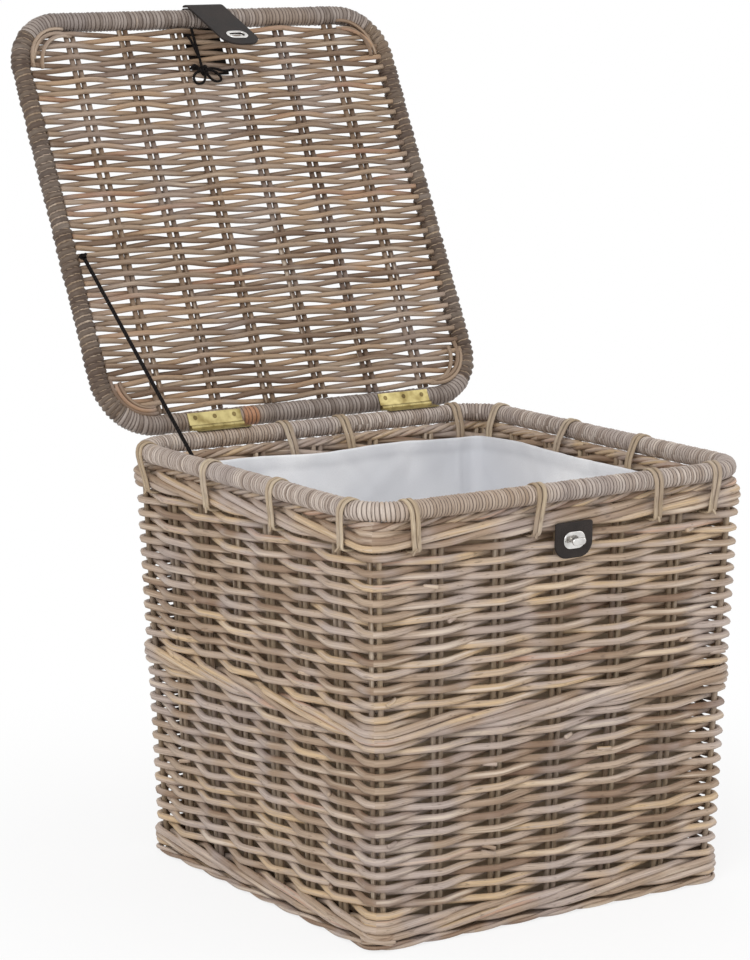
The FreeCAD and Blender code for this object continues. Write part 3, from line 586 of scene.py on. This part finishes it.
waling("bottomWaling", "bottom_waling", bands["bottom"], 300)
siding("lowerSiding", "lower_siding", wall["lowerFloor"], wall["lowerRows"], 100)
waling("middleWaling", "middle_waling", bands["middle"], 310)
siding("upperSiding", "upper_siding", wall["upperFloor"], wall["upperRows"], 200)
waling("topWaling", "top_waling", bands["top"], 320)

# cut ends of rods that show beside the stakes
cuts = dict(count=44, dia=4.2, start=4.0, out=7.4, rise=1.4, away=0.26, slant=0.17, samples=5, seed=77)
pick, count = np.random.default_rng(cuts["seed"]), cuts["count"]
t, hand = np.linspace(0, 1, cuts["samples"]), pick.choice([-1, 1], count)[:, None]
q = pick.integers(0, stationCount, count)[:, None] + hand * (cuts["away"] - cuts["slant"] * t)
q = q % stationCount
level = np.where(pick.random(count) < 0.5,
                 wall["lowerFloor"] + wall["pitch"] * pick.integers(2, wall["lowerRows"] - 1, count),
                 wall["upperFloor"] + wall["pitch"] * pick.integers(2, wall["upperRows"] - 1, count))
level = level[:, None]
z = level + cuts["rise"] * t * pick.normal(size=(count, 1))
half = wallHalf(level[:, 0])
travel = np.concatenate([travelAt(row, h)[None] for row, h in zip(q, half)])
at, normal = wallLine(travel, half[:, None])
out = (cuts["start"] + cuts["out"] * t)[:, None]
line = np.concatenate([at + normal * out, (z + rowDrift(q / stationCount, z))[..., None]], -1)
onBasket(addRods("rodEnds", line, cuts["dia"], tone=pick.random((count, 1)) + 0 * t))
print("wall woven")

stakes = dict(dia=5.6, gap=8.5, low=8.3, high=419.5, samples=26, sides=10, uneven=0.5, ref=(0.96, 0.28, 0))
first, z = 0, np.linspace(stakes["low"], stakes["high"], stakes["samples"])
for side, (name, pairs) in enumerate(zip(sideNames, wall["pairs"])):
    which = first + np.repeat(np.arange(pairs + 1), 2)
    s = stationTravel(wallHalf(z)).T[which] + np.tile([-0.5, 0.5], pairs + 1)[:, None] * stakes["gap"]
    sway = [stakes["uneven"] * wander(z / 600, 400 + 40 * side + i, 4) for i in range(len(which))]
    s = s + np.stack(sway)
    at, _ = wallLine(s, wallHalf(z) + 0 * s)
    line = np.concatenate([at, np.broadcast_to(z, s.shape)[..., None]], -1)
    piece = addRods(name + "Stakes", line, stakes["dia"], tone=rodTones(len(which), len(z), 1),
                    sides=stakes["sides"], ref=stakes["ref"])
    settle(piece, "basket", "rattan_stakes", stakeFinish, name + "_stakes")
    first += pairs + 1


def roundSquare(halfX, halfY, bend, count):
    # even steps round a rectangle with rounded corners, from the middle of the first bend:
    # the points, their normals, the way travelled to each and the whole way round
    steps = 41  # on each bend
    middle, bends, a = steps // 2, np.broadcast_to(bend, 4), np.linspace(0, math.pi / 2, steps)
    angle = np.concatenate([math.pi + k * math.pi / 2 + a for k in range(4)])
    centre = np.array(cornerSigns) * (np.array([halfX, halfY]) - bends[:, None])
    arc = np.repeat(bends, steps)[:, None] * np.stack([np.cos(angle), np.sin(angle)], -1)
    rough = np.roll(np.repeat(centre, steps, 0) + arc, -middle, 0)
    angle = np.concatenate([angle[middle:], angle[:middle] + 2 * math.pi])
    rough, angle = np.concatenate([rough, rough[:1]]), np.append(angle, angle[0] + 2 * math.pi)
    travel = travelled(rough)
    at = np.arange(count) / count * travel[-1]
    phi = np.interp(at, travel, angle)
    xy = np.stack([np.interp(at, travel, rough[:, axis]) for axis in range(2)], -1)
    return xy, np.stack([np.cos(phi), np.sin(phi)], -1), at, travel[-1]


def oval(halfX, halfY, count):
    # an oval outline: a rectangle whose bends take up nearly all of its shorter side
    return roundSquare(halfX, halfY, min(halfX, halfY) * 0.999, count)[0]


def ropeRound(name, node, rope):
    # rods twisted together along a rounded square: each goes once round the line in every lay
    n, strands = 640, rope["strands"]
    xy, normal, at, total = roundSquare(rope["half"], rope["half"], rope["bend"], n)
    a = 2 * np.pi * (round(total / rope["lay"]) * at / total + np.arange(strands)[:, None] / strands)
    out, z = rope["reach"] * np.cos(a), rope["z"] + rope["reach"] * np.sin(a)
    line = np.concatenate([xy + normal * out[..., None], z[..., None]], -1)
    onBasket(addRods(name, line, rope["dia"], True, rodTones(strands, n, 3)), node)


border = dict(half=218.5, bend=10.2, z=415.8, strands=4, dia=5.2, reach=3.0, lay=75.0)
foot = dict(half=211.6, bend=18.0, z=4.0, strands=2, dia=4.4, reach=1.75, lay=92.0,
            inner=(205.0, 199.6), innerDia=6.4, innerZ=3.4, innerSteps=320)
ropeRound("topBorder", "top_border", border)
ropeRound("footBorder", "foot_border", foot)
# ends tucked crosswise round the near corner, each from one height to another
tuck = dict(reach=0.16, out=10.4, hug=3.0, z=10.0, dia=4.6, samples=16,
            rods=((17.5, 5.0), (6.0, 15.0), (12.5, 9.0)))
t, half, line = np.linspace(-1, 1, tuck["samples"]), wallHalf(tuck["z"]), []
at, normal = wallLine(travelAt(np.abs(t) * tuck["reach"], half[None]) * np.sign(t), half + 0 * t[None])
for k, (start, end) in enumerate(tuck["rods"]):
    out = (tuck["out"] + k - tuck["hug"] * t ** 2)[:, None]
    line.append(np.concatenate([(at + normal * out)[0], (start + (end - start) * (t + 1) / 2)[:, None]], 1))
onBasket(addRods("cornerEnds", np.array(line), tuck["dia"], tone=rodTones(len(line), len(t), 1)))
line = np.stack([atHeight(roundSquare(half, half, foot["bend"], foot["innerSteps"])[0], foot["innerZ"])
                 for half in foot["inner"]])
onBasket(addRods("footInner", line, foot["innerDia"], True, rodTones(len(line), foot["innerSteps"], 3)))

# woven bottom: rods side by side, each rising and falling against its neighbour
base = dict(half=196.5, pitch=7.0, dia=5.4, waves=9, z=3.0, swing=0.25, samples=90)
rows = int(2 * base["half"] // base["pitch"])
x, row = np.linspace(-base["half"], base["half"], base["samples"]), np.arange(rows)[:, None]
z = base["z"] + base["swing"] * np.cos(np.pi * ((x / base["half"] + 1) / 2 * base["waves"] + row))
line = np.stack([x + 0 * z, (row - (rows - 1) / 2) * base["pitch"] + 0 * z, z], -1)
onBasket(addRods("baseWeave", line, base["dia"], tone=rodTones(rows, len(x), 1)), "base_mat")
print("stakes, borders and bottom set")


# poles wrapped with peel

winding = dict(sides=14, perCoil=6, uneven=0.35, low=0.7, spread=0.45)


def wrapped(name, line, at, total, closed, look, shape=None):
    # a tube whose radius rises over each turn of a wrapping of uneven width, wound like a screw
    sides, count = winding["sides"], round(total / look["coil"])
    edge = np.concatenate([[0], np.cumsum(1 + winding["uneven"] * dice.uniform(-1, 1, count))])
    phase = np.interp(at, edge * total / edge[-1], np.arange(count + 1))
    screw = phase[:, None] + np.arange(sides) / sides
    lift = (winding["low"] + winding["spread"] * dice.random(count))[np.floor(screw).astype(int) % count]
    radius = look["core"] + look["height"] * lift * (1 - np.abs(2 * (screw % 1) - 1) ** look["flat"])
    pts = tube(line[None], upright, radius[None], radius[None], sides, closed)
    return addTube(name, pts, closed, np.append(phase, count)[None], shape=shape)


rim = dict(half=225.0, bend=44.0, z=430.0, core=8.6, height=1.35, coil=3.6, flat=3, around=1724.0)
samples = winding["perCoil"] * round(rim["around"] / rim["coil"])
xy, _, at, total = roundSquare(rim["half"], rim["half"], rim["bend"], samples)
settle(wrapped("rimWrapping", atHeight(xy, rim["z"]), at, total, True, rim),
       "basket", "rattan_peel", peelFinish, "rim_wrapping")

lid = dict(halfX=233.0, halfY=230.5, y=-5.5, z=454.0, bend=54.0, samples=4000, gap=0.2,
           peel=dict(core=9.4, height=1.5, coil=4.3, flat=3),
           rods=dict(core=8.2, height=2.7, coil=6.6, flat=2.4))
xy, _, at, total = roundSquare(lid["halfX"], lid["halfY"], lid["bend"], lid["samples"])
halves = (lid["halfX"], lid["halfY"]) * 2
ends = np.cumsum([2 * (half - lid["bend"]) + math.pi / 2 * lid["bend"] for half in halves])
for k, name in enumerate(sideNames):
    look, finish = (lid["peel"], lidPeelFinish) if k % 2 == 0 else (lid["rods"], coilFinish)
    start, end = (ends[k - 1] if k else 0) + lid["gap"], ends[k] - lid["gap"]
    here = np.linspace(start, end, winding["perCoil"] * round((end - start) / look["coil"]))
    x, y = [np.interp(here, at, xy[:, axis], period=total) for axis in range(2)]
    run = np.stack([x, lid["y"] + y, np.full(len(here), lid["z"])], -1)
    piece = wrapped("lid" + name.title() + "Wrapping", run, here - start, end - start, False, look, openLid)
    settle(piece, "lid", "rattan_peel", finish, "lid_" + name + "_wrapping")
print("poles wrapped")


# lid weave: thin rods across paired stakes

weave = dict(pairs=6, rows=66, pitch=6.6, dia=6.0, swing=6.0, samples=10, inset=8.6, joins=3, hidden=0.8,
             uneven=0.5, drift=1.4, calm=12.0, fade=20.0, stakeDia=5.8, stakeGap=8.0, stakeReach=219.0,
             stakeSamples=40)
bays = weave["pairs"] + 1
step, row = 2 * lid["halfX"] / bays, np.arange(weave["rows"])[:, None]
y = (row - (weave["rows"] - 1) / 2) * weave["pitch"]
deep = np.clip(np.abs(y) - (lid["halfY"] - lid["bend"]), 0, lid["bend"] - 1)
reach = lid["halfX"] - lid["bend"] + np.sqrt(lid["bend"] ** 2 - deep ** 2) - weave["inset"]
x = reach * np.linspace(-1, 1, bays * weave["samples"] + 1)
q = (x + lid["halfX"]) / step
fade = np.clip((lid["halfY"] - weave["calm"] - np.abs(y)) / weave["fade"], 0.1, 1)
slow = np.sin(2 * np.pi * (q * 2 / bays + y / 160)) * 0.6
quick = np.sin(2 * np.pi * (q * 5 / bays - y / 90)) * 0.5
rise = weave["drift"] * fade * (slow + quick)
rise = rise + np.stack([weave["uneven"] * wander(q[r] / bays, 700 + r, 8) for r in range(weave["rows"])])
line = np.stack([x, lid["y"] + y + rise, lid["z"] + weave["swing"] * swingWave(np.pi * (q + row))], -1)
behind = [np.flatnonzero(r > lid["z"] + weave["swing"] * weave["hidden"]) for r in line[..., 2]]
tone = rodTones(weave["rows"], x.shape[1], weave["joins"], behind)
settle(addRods("lidWeave", line, weave["dia"], tone=tone, shape=openLid),
       "lid", "rattan_lid_rods", lidFinish, "lid_weave")

x = np.repeat(np.arange(1, bays), 2) * step - lid["halfX"]
x = (x + np.tile([-0.5, 0.5], weave["pairs"]) * weave["stakeGap"])[:, None]
y = np.linspace(-weave["stakeReach"], weave["stakeReach"], weave["stakeSamples"])
x = x + np.stack([weave["uneven"] * wander(y / 900, 800 + i, 4) for i in range(len(x))])
line = np.stack([x, lid["y"] + y + 0 * x, lid["z"] + 0 * x], -1)
settle(addRods("lidStakes", line, weave["stakeDia"], tone=rodTones(len(x), len(y), 1), shape=openLid),
       "lid", "rattan_stakes", lidStakeFinish, "lid_stakes")

# loose rods lie round the corners inside the hoop
loose = dict(rods=3, dia=4.6, drop=6.4, inset=11.0, apart=4.4, bulge=3.0, lift=1.5, samples=14)
t, slants = np.linspace(0, 1, loose["samples"]), []
for k, (sx, sy) in enumerate(cornerSigns):
    for ring in range(loose["rods"]):
        a = math.pi + k * math.pi / 2 + np.radians(dice.normal(0, 6) + (90 + dice.normal(0, 8)) * t)
        r = lid["bend"] - loose["inset"] - loose["apart"] * ring
        r = r + loose["bulge"] * np.sin(np.pi * t + dice.normal())
        slants.append(np.stack([sx * (lid["halfX"] - lid["bend"]) + r * np.cos(a),
                                lid["y"] + sy * (lid["halfY"] - lid["bend"]) + r * np.sin(a),
                                lid["z"] - loose["drop"] + loose["lift"] * (2 * t - 1) ** 2], -1))
tone = rodTones(len(slants), len(t), 1)
settle(addRods("lidCornerRods", np.array(slants), loose["dia"], tone=tone, shape=openLid),
       "lid", "rattan_lid_rods", lidFinish)
print("lid woven")


# lashings bind the rim to the top waling: a closed loop round both, twice side by side

lash = dict(steps=((0, 2, 4, 5), (2, 4, 6), (0, 2, 3), (0, 2, 4, 6)), width=4.9, thick=2.4, gap=0.3,
            spread=216.6, lean=2.6, middle=415.0, tall=26.0, apart=1.12, splay=0.12, samples=72, sides=10,
            square=0.75,
            loop=((226, 389.9), (230.6, 391.4), (231.6, 402), (234.6, 418), (236.2, 430), (233.2, 438.2),
                  (225, 441.4), (216.8, 438.2), (212, 430), (206, 418), (203.9, 408), (203.9, 393),
                  (206, 390.1), (214, 389.6)))
stub = dict(dia=2.4, samples=6, out=231.2, flare=2.2, top=394.0, fall=5.5, stray=3.5, back=0.9,
            ref=(0.6, 0.5, 0.1))
loop = np.array(lash["loop"] + lash["loop"][:1])
travel = travelled(loop)
at = np.arange(lash["samples"]) / lash["samples"] * travel[-1]
outAt, zAt = smoothRound(np.stack([np.interp(at, travel, loop[:, axis]) for axis in range(2)]), 5)
rise, sides, strands, stubs = (zAt - lash["middle"]) / lash["tall"], [], [], []
t = np.linspace(0, 1, stub["samples"])
for side, (steps, pairs) in enumerate(zip(lash["steps"], wall["pairs"])):
    c, s = math.cos(side * math.pi / 2), math.sin(side * math.pi / 2)
    for place in steps:
        lean, middle = dice.normal() * lash["lean"], lash["spread"] * (2 * (place + 0.5) / (pairs + 1) - 1)
        for hand in (-0.5, 0.5):
            apart = hand * (lash["width"] + lash["gap"]) * (lash["apart"] + lash["splay"] * rise)
            along = middle + apart + lean * rise
            strands.append(np.stack([along * c + outAt * s, along * s - outAt * c, zAt], -1))
            sides.append((c, s, 0))
        over = middle - lean * stub["back"] + stub["stray"] * t * dice.normal()
        out, down = stub["out"] + stub["flare"] * t, stub["top"] - stub["fall"] * t
        stubs.append(np.stack([over * c + out * s, over * s - out * c, down], -1))
strands, stubs = np.array(strands), np.array(stubs)
pts = tube(strands, np.array(sides)[:, None], lash["thick"] / 2, lash["width"] / 2, lash["sides"], True,
           lash["square"])
tone = rodTones(len(strands), lash["samples"], 1)
settle(addTube("rimLashings", pts, True, lengthAlong(strands, True), tone),
       "basket", "rattan_lashing", lashFinish, "rim_lashings")
settle(addRods("lashingEnds", stubs, stub["dia"], tone=rodTones(len(stubs), len(t), 1), ref=stub["ref"]),
       "basket", "rattan_lashing", lashFinish)
print("rim lashed")


# cotton liner: a bag that hangs inside the rim, slack between its corners

def cottonFinish(name, shade, plain, weft):
    finish, w, shader = newFinish(name)
    cloudy, thread = w.noise(w.place(), 7, 2), w.noise(w.place(), 1400, 1)
    # cloudy patches between a darker and a paler colour: partly the cloth's own tone, partly painted shade
    colour = cloudy.span(0.3, 0.7).blend(shade, plain)
    colour = (thread.span(0.4, 0.7) * 0.25).blend(colour, weft)
    plug(shader, Base_Color=colour, Roughness=0.9, Specular_IOR_Level=0.2,
         Normal=w.node("Bump", Strength=0.3, Distance=0.0004, Height=thread))
    return finish


liner = dict(inset=15.8, floor=13.2, top=409.5, shoulder=388.9, corner=15.0, sag=6.0, fold=1.7, thick=1.2,
             count=480, wave=2.4, hem=0.7, hemAt=0.968, seam=1.3, seamAt=0.515, seamWide=0.0016,
             crease=0.85, creases=((0.35, 93, 34), (-0.22, 94, 40)), edge=(1, 0.994, 0.97, 0.966),
             sideRows=56, turn=(0.012, 0.005, 0.001), turnIn=(0.012, 0.03, 0.055), floorRows=9)
# rows of points go down the sides, turn in at the bottom and cross the floor
t = np.arange(liner["count"]) / liner["count"]
level = np.concatenate([liner["edge"], np.linspace(0.95, 0.02, liner["sideRows"]), liner["turn"],
                        np.zeros(liner["floorRows"])])
shrink = np.concatenate([np.zeros(len(liner["edge"]) + liner["sideRows"]), liner["turnIn"],
                         np.linspace(0.09, 0.985, liner["floorRows"])])
tall, onSide = level[:, None], level[:, None] > 0
z = liner["floor"] + tall * (liner["top"] + liner["wave"] * wander(t, 91, 9) - liner["floor"])
half = wallHalf(np.minimum(z.mean(1), liner["shoulder"])) - liner["inset"]
rings = [roundSquare(h, h, liner["corner"], liner["count"])[:2] for h in half]
flat, out = np.stack([r[0] for r in rings]), np.stack([r[1] for r in rings])
slack = np.interp(level, [0, 0.5, 1], [0.15, 1, 0.35])[:, None] * liner["sag"] * np.sin(4 * np.pi * t) ** 2
# soft folds, slanting creases, a stitched hem along the top and one upright seam
fold = liner["fold"] * tall ** 1.5 * np.abs(wander(t + 0.03 * tall, 92, 16))
for slant, seed, waves in liner["creases"]:
    fold = fold + liner["crease"] * onSide * np.abs(wander(t + slant * tall, seed, waves))
fold = fold + liner["hem"] * (tall > liner["hemAt"])
fold = fold + liner["seam"] * np.exp(-((t - liner["seamAt"]) / liner["seamWide"]) ** 2) * onSide
flat = (flat - out * (slack + fold)[..., None]) * (1 - shrink)[:, None, None]
bag = addGrid("clothLiner", np.concatenate([flat, z[..., None]], -1)[None], closeU=False, caps="end")
cloth = bag.modifiers.new("cloth", "SOLIDIFY")
cloth.thickness, cloth.offset = liner["thick"] * mm, 0
cloth.material_offset, cloth.material_offset_rim = 1, 1
# the liner's outer face takes a darker, browner copy of the cotton: painted shade for the cloth seen through
# the gaps in the weave
shadedCottonBack = cottonFinish("cotton back in painted shade", hue(204, 182, 156), hue(216, 196, 170), hue(186, 164, 138))
inside = cottonFinish("cotton", hue(214, 215, 219), hue(246, 246, 247), hue(206, 207, 212))
settle(bag, "basket", "cotton", shadedCottonBack, "liner")
bag.data.materials.append(inside)
print("liner hung")


# leather strap, catch and metal

def leatherFinish():
    finish, w, shader = newFinish("leather")
    cells = w.node("TexVoronoi", Vector=w.place(), Scale=900.0)
    cloud, pore = w.noise(w.place(), 45, 3), w.noise(w.place(), 1600, 2)
    colour = cloud.span(0.3, 0.7).blend(hue(34, 29, 27), hue(52, 45, 42))
    colour = (cells.span(0.25, 0.75) * 0.4).blend(colour, hue(28, 24, 23))
    plug(shader, Base_Color=colour, Roughness=0.56 + cloud * 0.25, Specular_IOR_Level=0.25,
         Normal=w.node("Bump", Strength=0.4, Distance=0.0005, Height=pore * 0.5 - cells))
    return finish


def metalFinish(name, pale, dark, smooth):
    finish, w, shader = newFinish(name)
    smear, fine = w.noise(w.place(), 60, 3), w.noise(w.place(), 700, 2)
    colour = smear.span(0.35, 0.7).blend(pale, dark)
    plug(shader, Base_Color=colour, Metallic=1.0, Roughness=smooth + smear * 0.14 + fine * 0.06,
         Normal=w.node("Bump", Strength=0.08, Distance=0.0003, Height=smear + fine * 0.3))
    return finish


leather = leatherFinish()
brightMetal = metalFinish("bright metal", hue(226, 224, 221), hue(198, 196, 193), 0.12)
brass = metalFinish("brass", hue(192, 178, 126), hue(136, 120, 76), 0.24)
dullBrass = metalFinish("screw brass", hue(128, 112, 74), hue(92, 78, 50), 0.3)


def plateRing(outline, hole, thick, edge=0.05, rings=3):
    # a flat ring with soft edges: from its outline over the top to its hole, and back below
    share = np.concatenate([[1, 1 - edge], np.linspace(1 - 3 * edge, 3 * edge, rings), [edge, 0]])
    lift = np.concatenate([[0.45, 0.9], np.ones(rings), [0.9, 0.45]]) * thick / 2
    share, lift = np.concatenate([share, share[::-1]]), np.concatenate([lift, -lift[::-1]])
    flat = hole[:, None] + (outline - hole)[:, None] * share[:, None]
    return np.concatenate([flat, np.broadcast_to(lift[:, None], (*flat.shape[:2], 1))], -1)


def facing(outline, halfX, halfY):
    # the points of an oval hole that lie in the same directions as the outline's points
    hole = oval(halfX, halfY, 400)
    angle = np.arctan2(hole[:, 1], hole[:, 0])
    order = np.argsort(angle)
    want = np.arctan2(outline[:, 1], outline[:, 0])
    far = np.interp(want, angle[order], np.linalg.norm(hole, axis=1)[order], period=2 * math.pi)
    return far[:, None] * np.stack([np.cos(want), np.sin(want)], -1)


strap = dict(x=7.0, y=-236.0, z=454.0, width=46.0, thick=2.2, flapRadius=12.4, tailRadius=14.9,
             flapLength=62.0, flapSquare=0.3, swing=50.5, end=361.0, eyelet=382.0,
             bends=(18.9, 18.9, 1.0, 1.0), slot=(11.0, 6.5), edge=0.012, rings=42,
             ringWide=4.0, ringHigh=1.9, ringLift=1.5)


def hangStrap(pts):
    # bends the strap's flat points round the lid's front rim, then swings them to where the strap rests
    x, z, h = pts[..., 0], pts[..., 1] + strap["eyelet"], pts[..., 2]
    a, r = np.clip(z - strap["z"], 0, None) / strap["tailRadius"], strap["tailRadius"] + h
    y, z = strap["y"] - r * np.cos(a), np.minimum(z, strap["z"]) + r * np.sin(a)
    hung = np.stack([strap["x"] + x, y, z], -1)
    return openLid(turnX(hung, strap["y"], strap["z"], strap["swing"]))


top = strap["z"] + math.radians(strap["swing"]) * strap["tailRadius"]
halfLong = (top - strap["end"]) / 2
outline = roundSquare(strap["width"] / 2, halfLong, strap["bends"], 200)[0]
outline = outline + (0, strap["end"] + halfLong - strap["eyelet"])
tail = plateRing(outline, facing(outline, *strap["slot"]), strap["thick"], strap["edge"], strap["rings"])
settle(addGrid("strapTail", hangStrap(tail)[None]), "strap", "leather", leather, "strap_tail")
ring = atHeight(oval(*strap["slot"], 72), 0)[None]
for name, node, hand in (("eyeletRing", "eyelet_ring", 1), ("eyeletWasher", "eyelet_washer", -1)):
    lifted = ring + (0, 0, hand * strap["ringLift"])
    pts = tube(lifted, upright, strap["ringWide"] / 2, strap["ringHigh"] / 2, 12, True)
    settle(addGrid(name, hangStrap(pts)), "strap", "bright_metal", brightMetal, node)
# the flap lies along the lid's outside and goes a quarter round the front pole
a, along = np.radians(np.linspace(90, 180, 16)), np.linspace(strap["flapLength"], 1, 14)
flap = np.concatenate([np.stack([along, np.full(len(along), strap["flapRadius"])], -1),
                       strap["flapRadius"] * np.stack([np.cos(a), np.sin(a)], -1)])
y, z = strap["y"] + flap[:, 0], strap["z"] + flap[:, 1]
line = np.stack([np.full(len(flap), strap["x"]), y, z], -1)[None]
pts = tube(line, (1, 0, 0), strap["thick"] / 2, strap["width"] / 2, 32, False, strap["flapSquare"])
piece = addGrid("strapFlap", openLid(pts), closeU=False, caps="both")
settle(piece, "lid", "leather", leather, "strap_flap")

# the tie's two threads down from the strap, its two loops and its two tails
tie = dict(dia=2.9, points=8, knot=1.7, knotThick=1.2, at=(-15.0, -171.0, 445.0), runs=(
    ((-16, -222, 446.6), (-16.6, -208, 446), (-15.6, -196, 446.1), (-15.6, -184, 446.1), (-16, -174, 445.6)),
    ((-14, -171, 445), (-5, -174, 445.5), (3, -172, 445.4), (12, -168.5, 445.2), (24, -171, 445.6)),
    ((-18, -171, 445), (-30, -168, 445.4), (-30, -154, 445), (-15, -157, 444.8), (-14, -170, 444.8)),
    ((-14, -170, 444.8), (-8, -156, 444.6), (7, -158, 444.8), (-1, -171, 445), (-14, -172, 444.8)),
    ((-17, -170, 445.2), (-21, -175, 445.4), (-25, -178, 445.1), (-28, -176, 445), (-31, -173, 445.2)),
    ((-23, -214, 447), (-20.5, -207, 446.3), (-19, -200, 446), (-17.5, -193, 446), (-16, -186, 446))))
line = np.stack([splinePoints(run, tie["points"]) for run in tie["runs"]])
settle(addRods("strapTie", line, tie["dia"], shape=openLid), "lid", "black_cord", blackCord, "strap_tie")
knot = knotLine(tie["at"], upright, tie["knot"])
settle(addRods("strapTieKnot", knot, tie["dia"] * tie["knotThick"], True, shape=openLid),
       "lid", "black_cord", blackCord)

catch = dict(x=7.0, y=-228.81, z=382.0, lean=1.931, patch=(22.5, 18.0), bends=(15.0, 15.0, 3.0, 3.0),
             patchThick=2.2, plate=(13.0, 8.5), plateThick=1.4, plateEdge=0.09, hole=2.4, knob=(8.0, 3.5),
             neck=2.3, neckLow=0.2, knobLow=8.6, knobThick=3.2,
             swell=((0.78, 0.0), (0.93, 0.08), (1, 0.3), (1, 0.66), (0.94, 0.88), (0.8, 0.97), (0.4, 1.0)))


def onWall(pts):
    # a flat piece, its height pointing forward, laid on the leaning front wall
    flat = np.stack([catch["x"] + pts[..., 0], catch["y"] - pts[..., 2], catch["z"] + pts[..., 1]], -1)
    return turnX(flat, catch["y"], catch["z"], catch["lean"])


outline = roundSquare(*catch["patch"], catch["bends"], 140)[0]
pts = plateRing(outline, facing(outline, catch["hole"], catch["hole"]), catch["patchThick"])
pts = pts + (0, 0, catch["patchThick"] / 2)
settle(addGrid("catchPatch", onWall(pts)[None]), "basket", "leather", leather, "catch_patch")
outline = oval(*catch["plate"], 96)
hole = facing(outline, catch["hole"], catch["hole"])
pts = plateRing(outline, hole, catch["plateThick"], catch["plateEdge"])
pts = pts + (0, 0, catch["patchThick"] + catch["plateThick"] / 2)
settle(addGrid("catchPlate", onWall(pts)[None]), "basket", "bright_metal", brightMetal, "catch_plate")
# the knob is a stack of outlines: a round neck, then an oval head with soft edges
head = oval(*catch["knob"], 64)[::-1]
neck = unit(head) * catch["neck"]
low, thick = catch["knobLow"], catch["knobThick"]
stack = [(neck, 1, catch["neckLow"]), (neck, 1, low)]
stack += [(head, k, low + thick * h) for k, h in catch["swell"]]
pts = np.stack([atHeight(ring * k, h) for ring, k, h in stack])
settle(addGrid("turnKnob", onWall(pts)[None], closeU=False, caps="both"),
       "knob", "bright_metal", brightMetal, "turn_knob")

# the hinges, screws, rivets and hidden poles keep their CAD shapes
kept = {brass: ("left_hinge_rim_leaf", "right_hinge_rim_leaf", "left_hinge_lid_leaf",
                "right_hinge_lid_leaf", "left_hinge_pin", "right_hinge_pin"),
        dullBrass: ("hinge_rim_screws", "hinge_lid_screws"),
        brightMetal: ("catch_rivets",),
        poleFinish: ("rim_pole", "lid_pole", "base_sticks")}
for finish, names in kept.items():
    for name in names:
        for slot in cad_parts[name].material_slots:
            slot.material = finish
print("strap, catch and hinges fitted")


# pale floor and soft studio light

stage = dict(reach=6000.0, drop=0.15, ambient=0.78, shade=0.2, clear=(0.3, 0.9), lampSize=2.2,
             aim=(0, 0, 0.3), lamps=dict(key=(66.0, (-2.6, -2.2, 2.4)), fill=(18.0, (2.6, -1.2, 1.6))))
reach = stage["reach"]
corners = [[(x, y, -stage["drop"]) for y in (-reach, reach)] for x in (-reach, reach)]
floor = addGrid("floor", np.array([corners], float), closeU=False, closeV=False)


def seenDirectly(w):
    # 1 for what the camera sees straight, in a mirror or through glass, 0 for light that bounces
    seen = w.math("MAXIMUM", w.node("LightPath", out=0), w.node("LightPath", out=3))
    return w.math("MAXIMUM", seen, w.node("LightPath", out=6))


# the floor is white all round, with a soft shadow under the basket
finish, w, shader = newFinish("white floor")
plug(shader, Base_Color=(0.9, 0.9, 0.9, 1), Roughness=0.9, Specular_IOR_Level=0.1)
glow = w.node("Emission", Color=(1, 1, 1, 1), Strength=1.0)
away = w.node("VectorMath", {"operation": "LENGTH"}, out=1, i0=w.place()).span(*stage["clear"])
white = seenDirectly(w) * (1 - stage["shade"] + away * stage["shade"])
mixed = w.node("MixShader", i0=white, i1=Wire(w.tree, shader.outputs[0]), i2=glow)
w.tree.links.new(mixed.socket, w.tree.nodes["Material Output"].inputs[0])
floor.data.materials.append(finish)

world = bpy.data.worlds.new("studio")
bpy.context.scene.world = world
world.use_nodes = True
w = Wire(world.node_tree)
sky = world.node_tree.nodes["Background"]
level = stage["ambient"] + seenDirectly(w) * (1 - stage["ambient"])
world.node_tree.links.new(level.socket, sky.inputs["Strength"])
sky.inputs["Color"].default_value = (1, 1, 1, 1)
for name, (power, place) in stage["lamps"].items():
    lamp = bpy.data.objects.new(name, bpy.data.lights.new(name, "AREA"))
    bpy.context.scene.collection.objects.link(lamp)
    lamp.data.energy, lamp.data.size = power, stage["lampSize"]
    lamp.location = place
    lamp.rotation_euler = (Vector(stage["aim"]) - Vector(place)).to_track_quat("-Z", "Y").to_euler()
bpy.context.scene.view_settings.view_transform = "Standard"
print("studio lit")
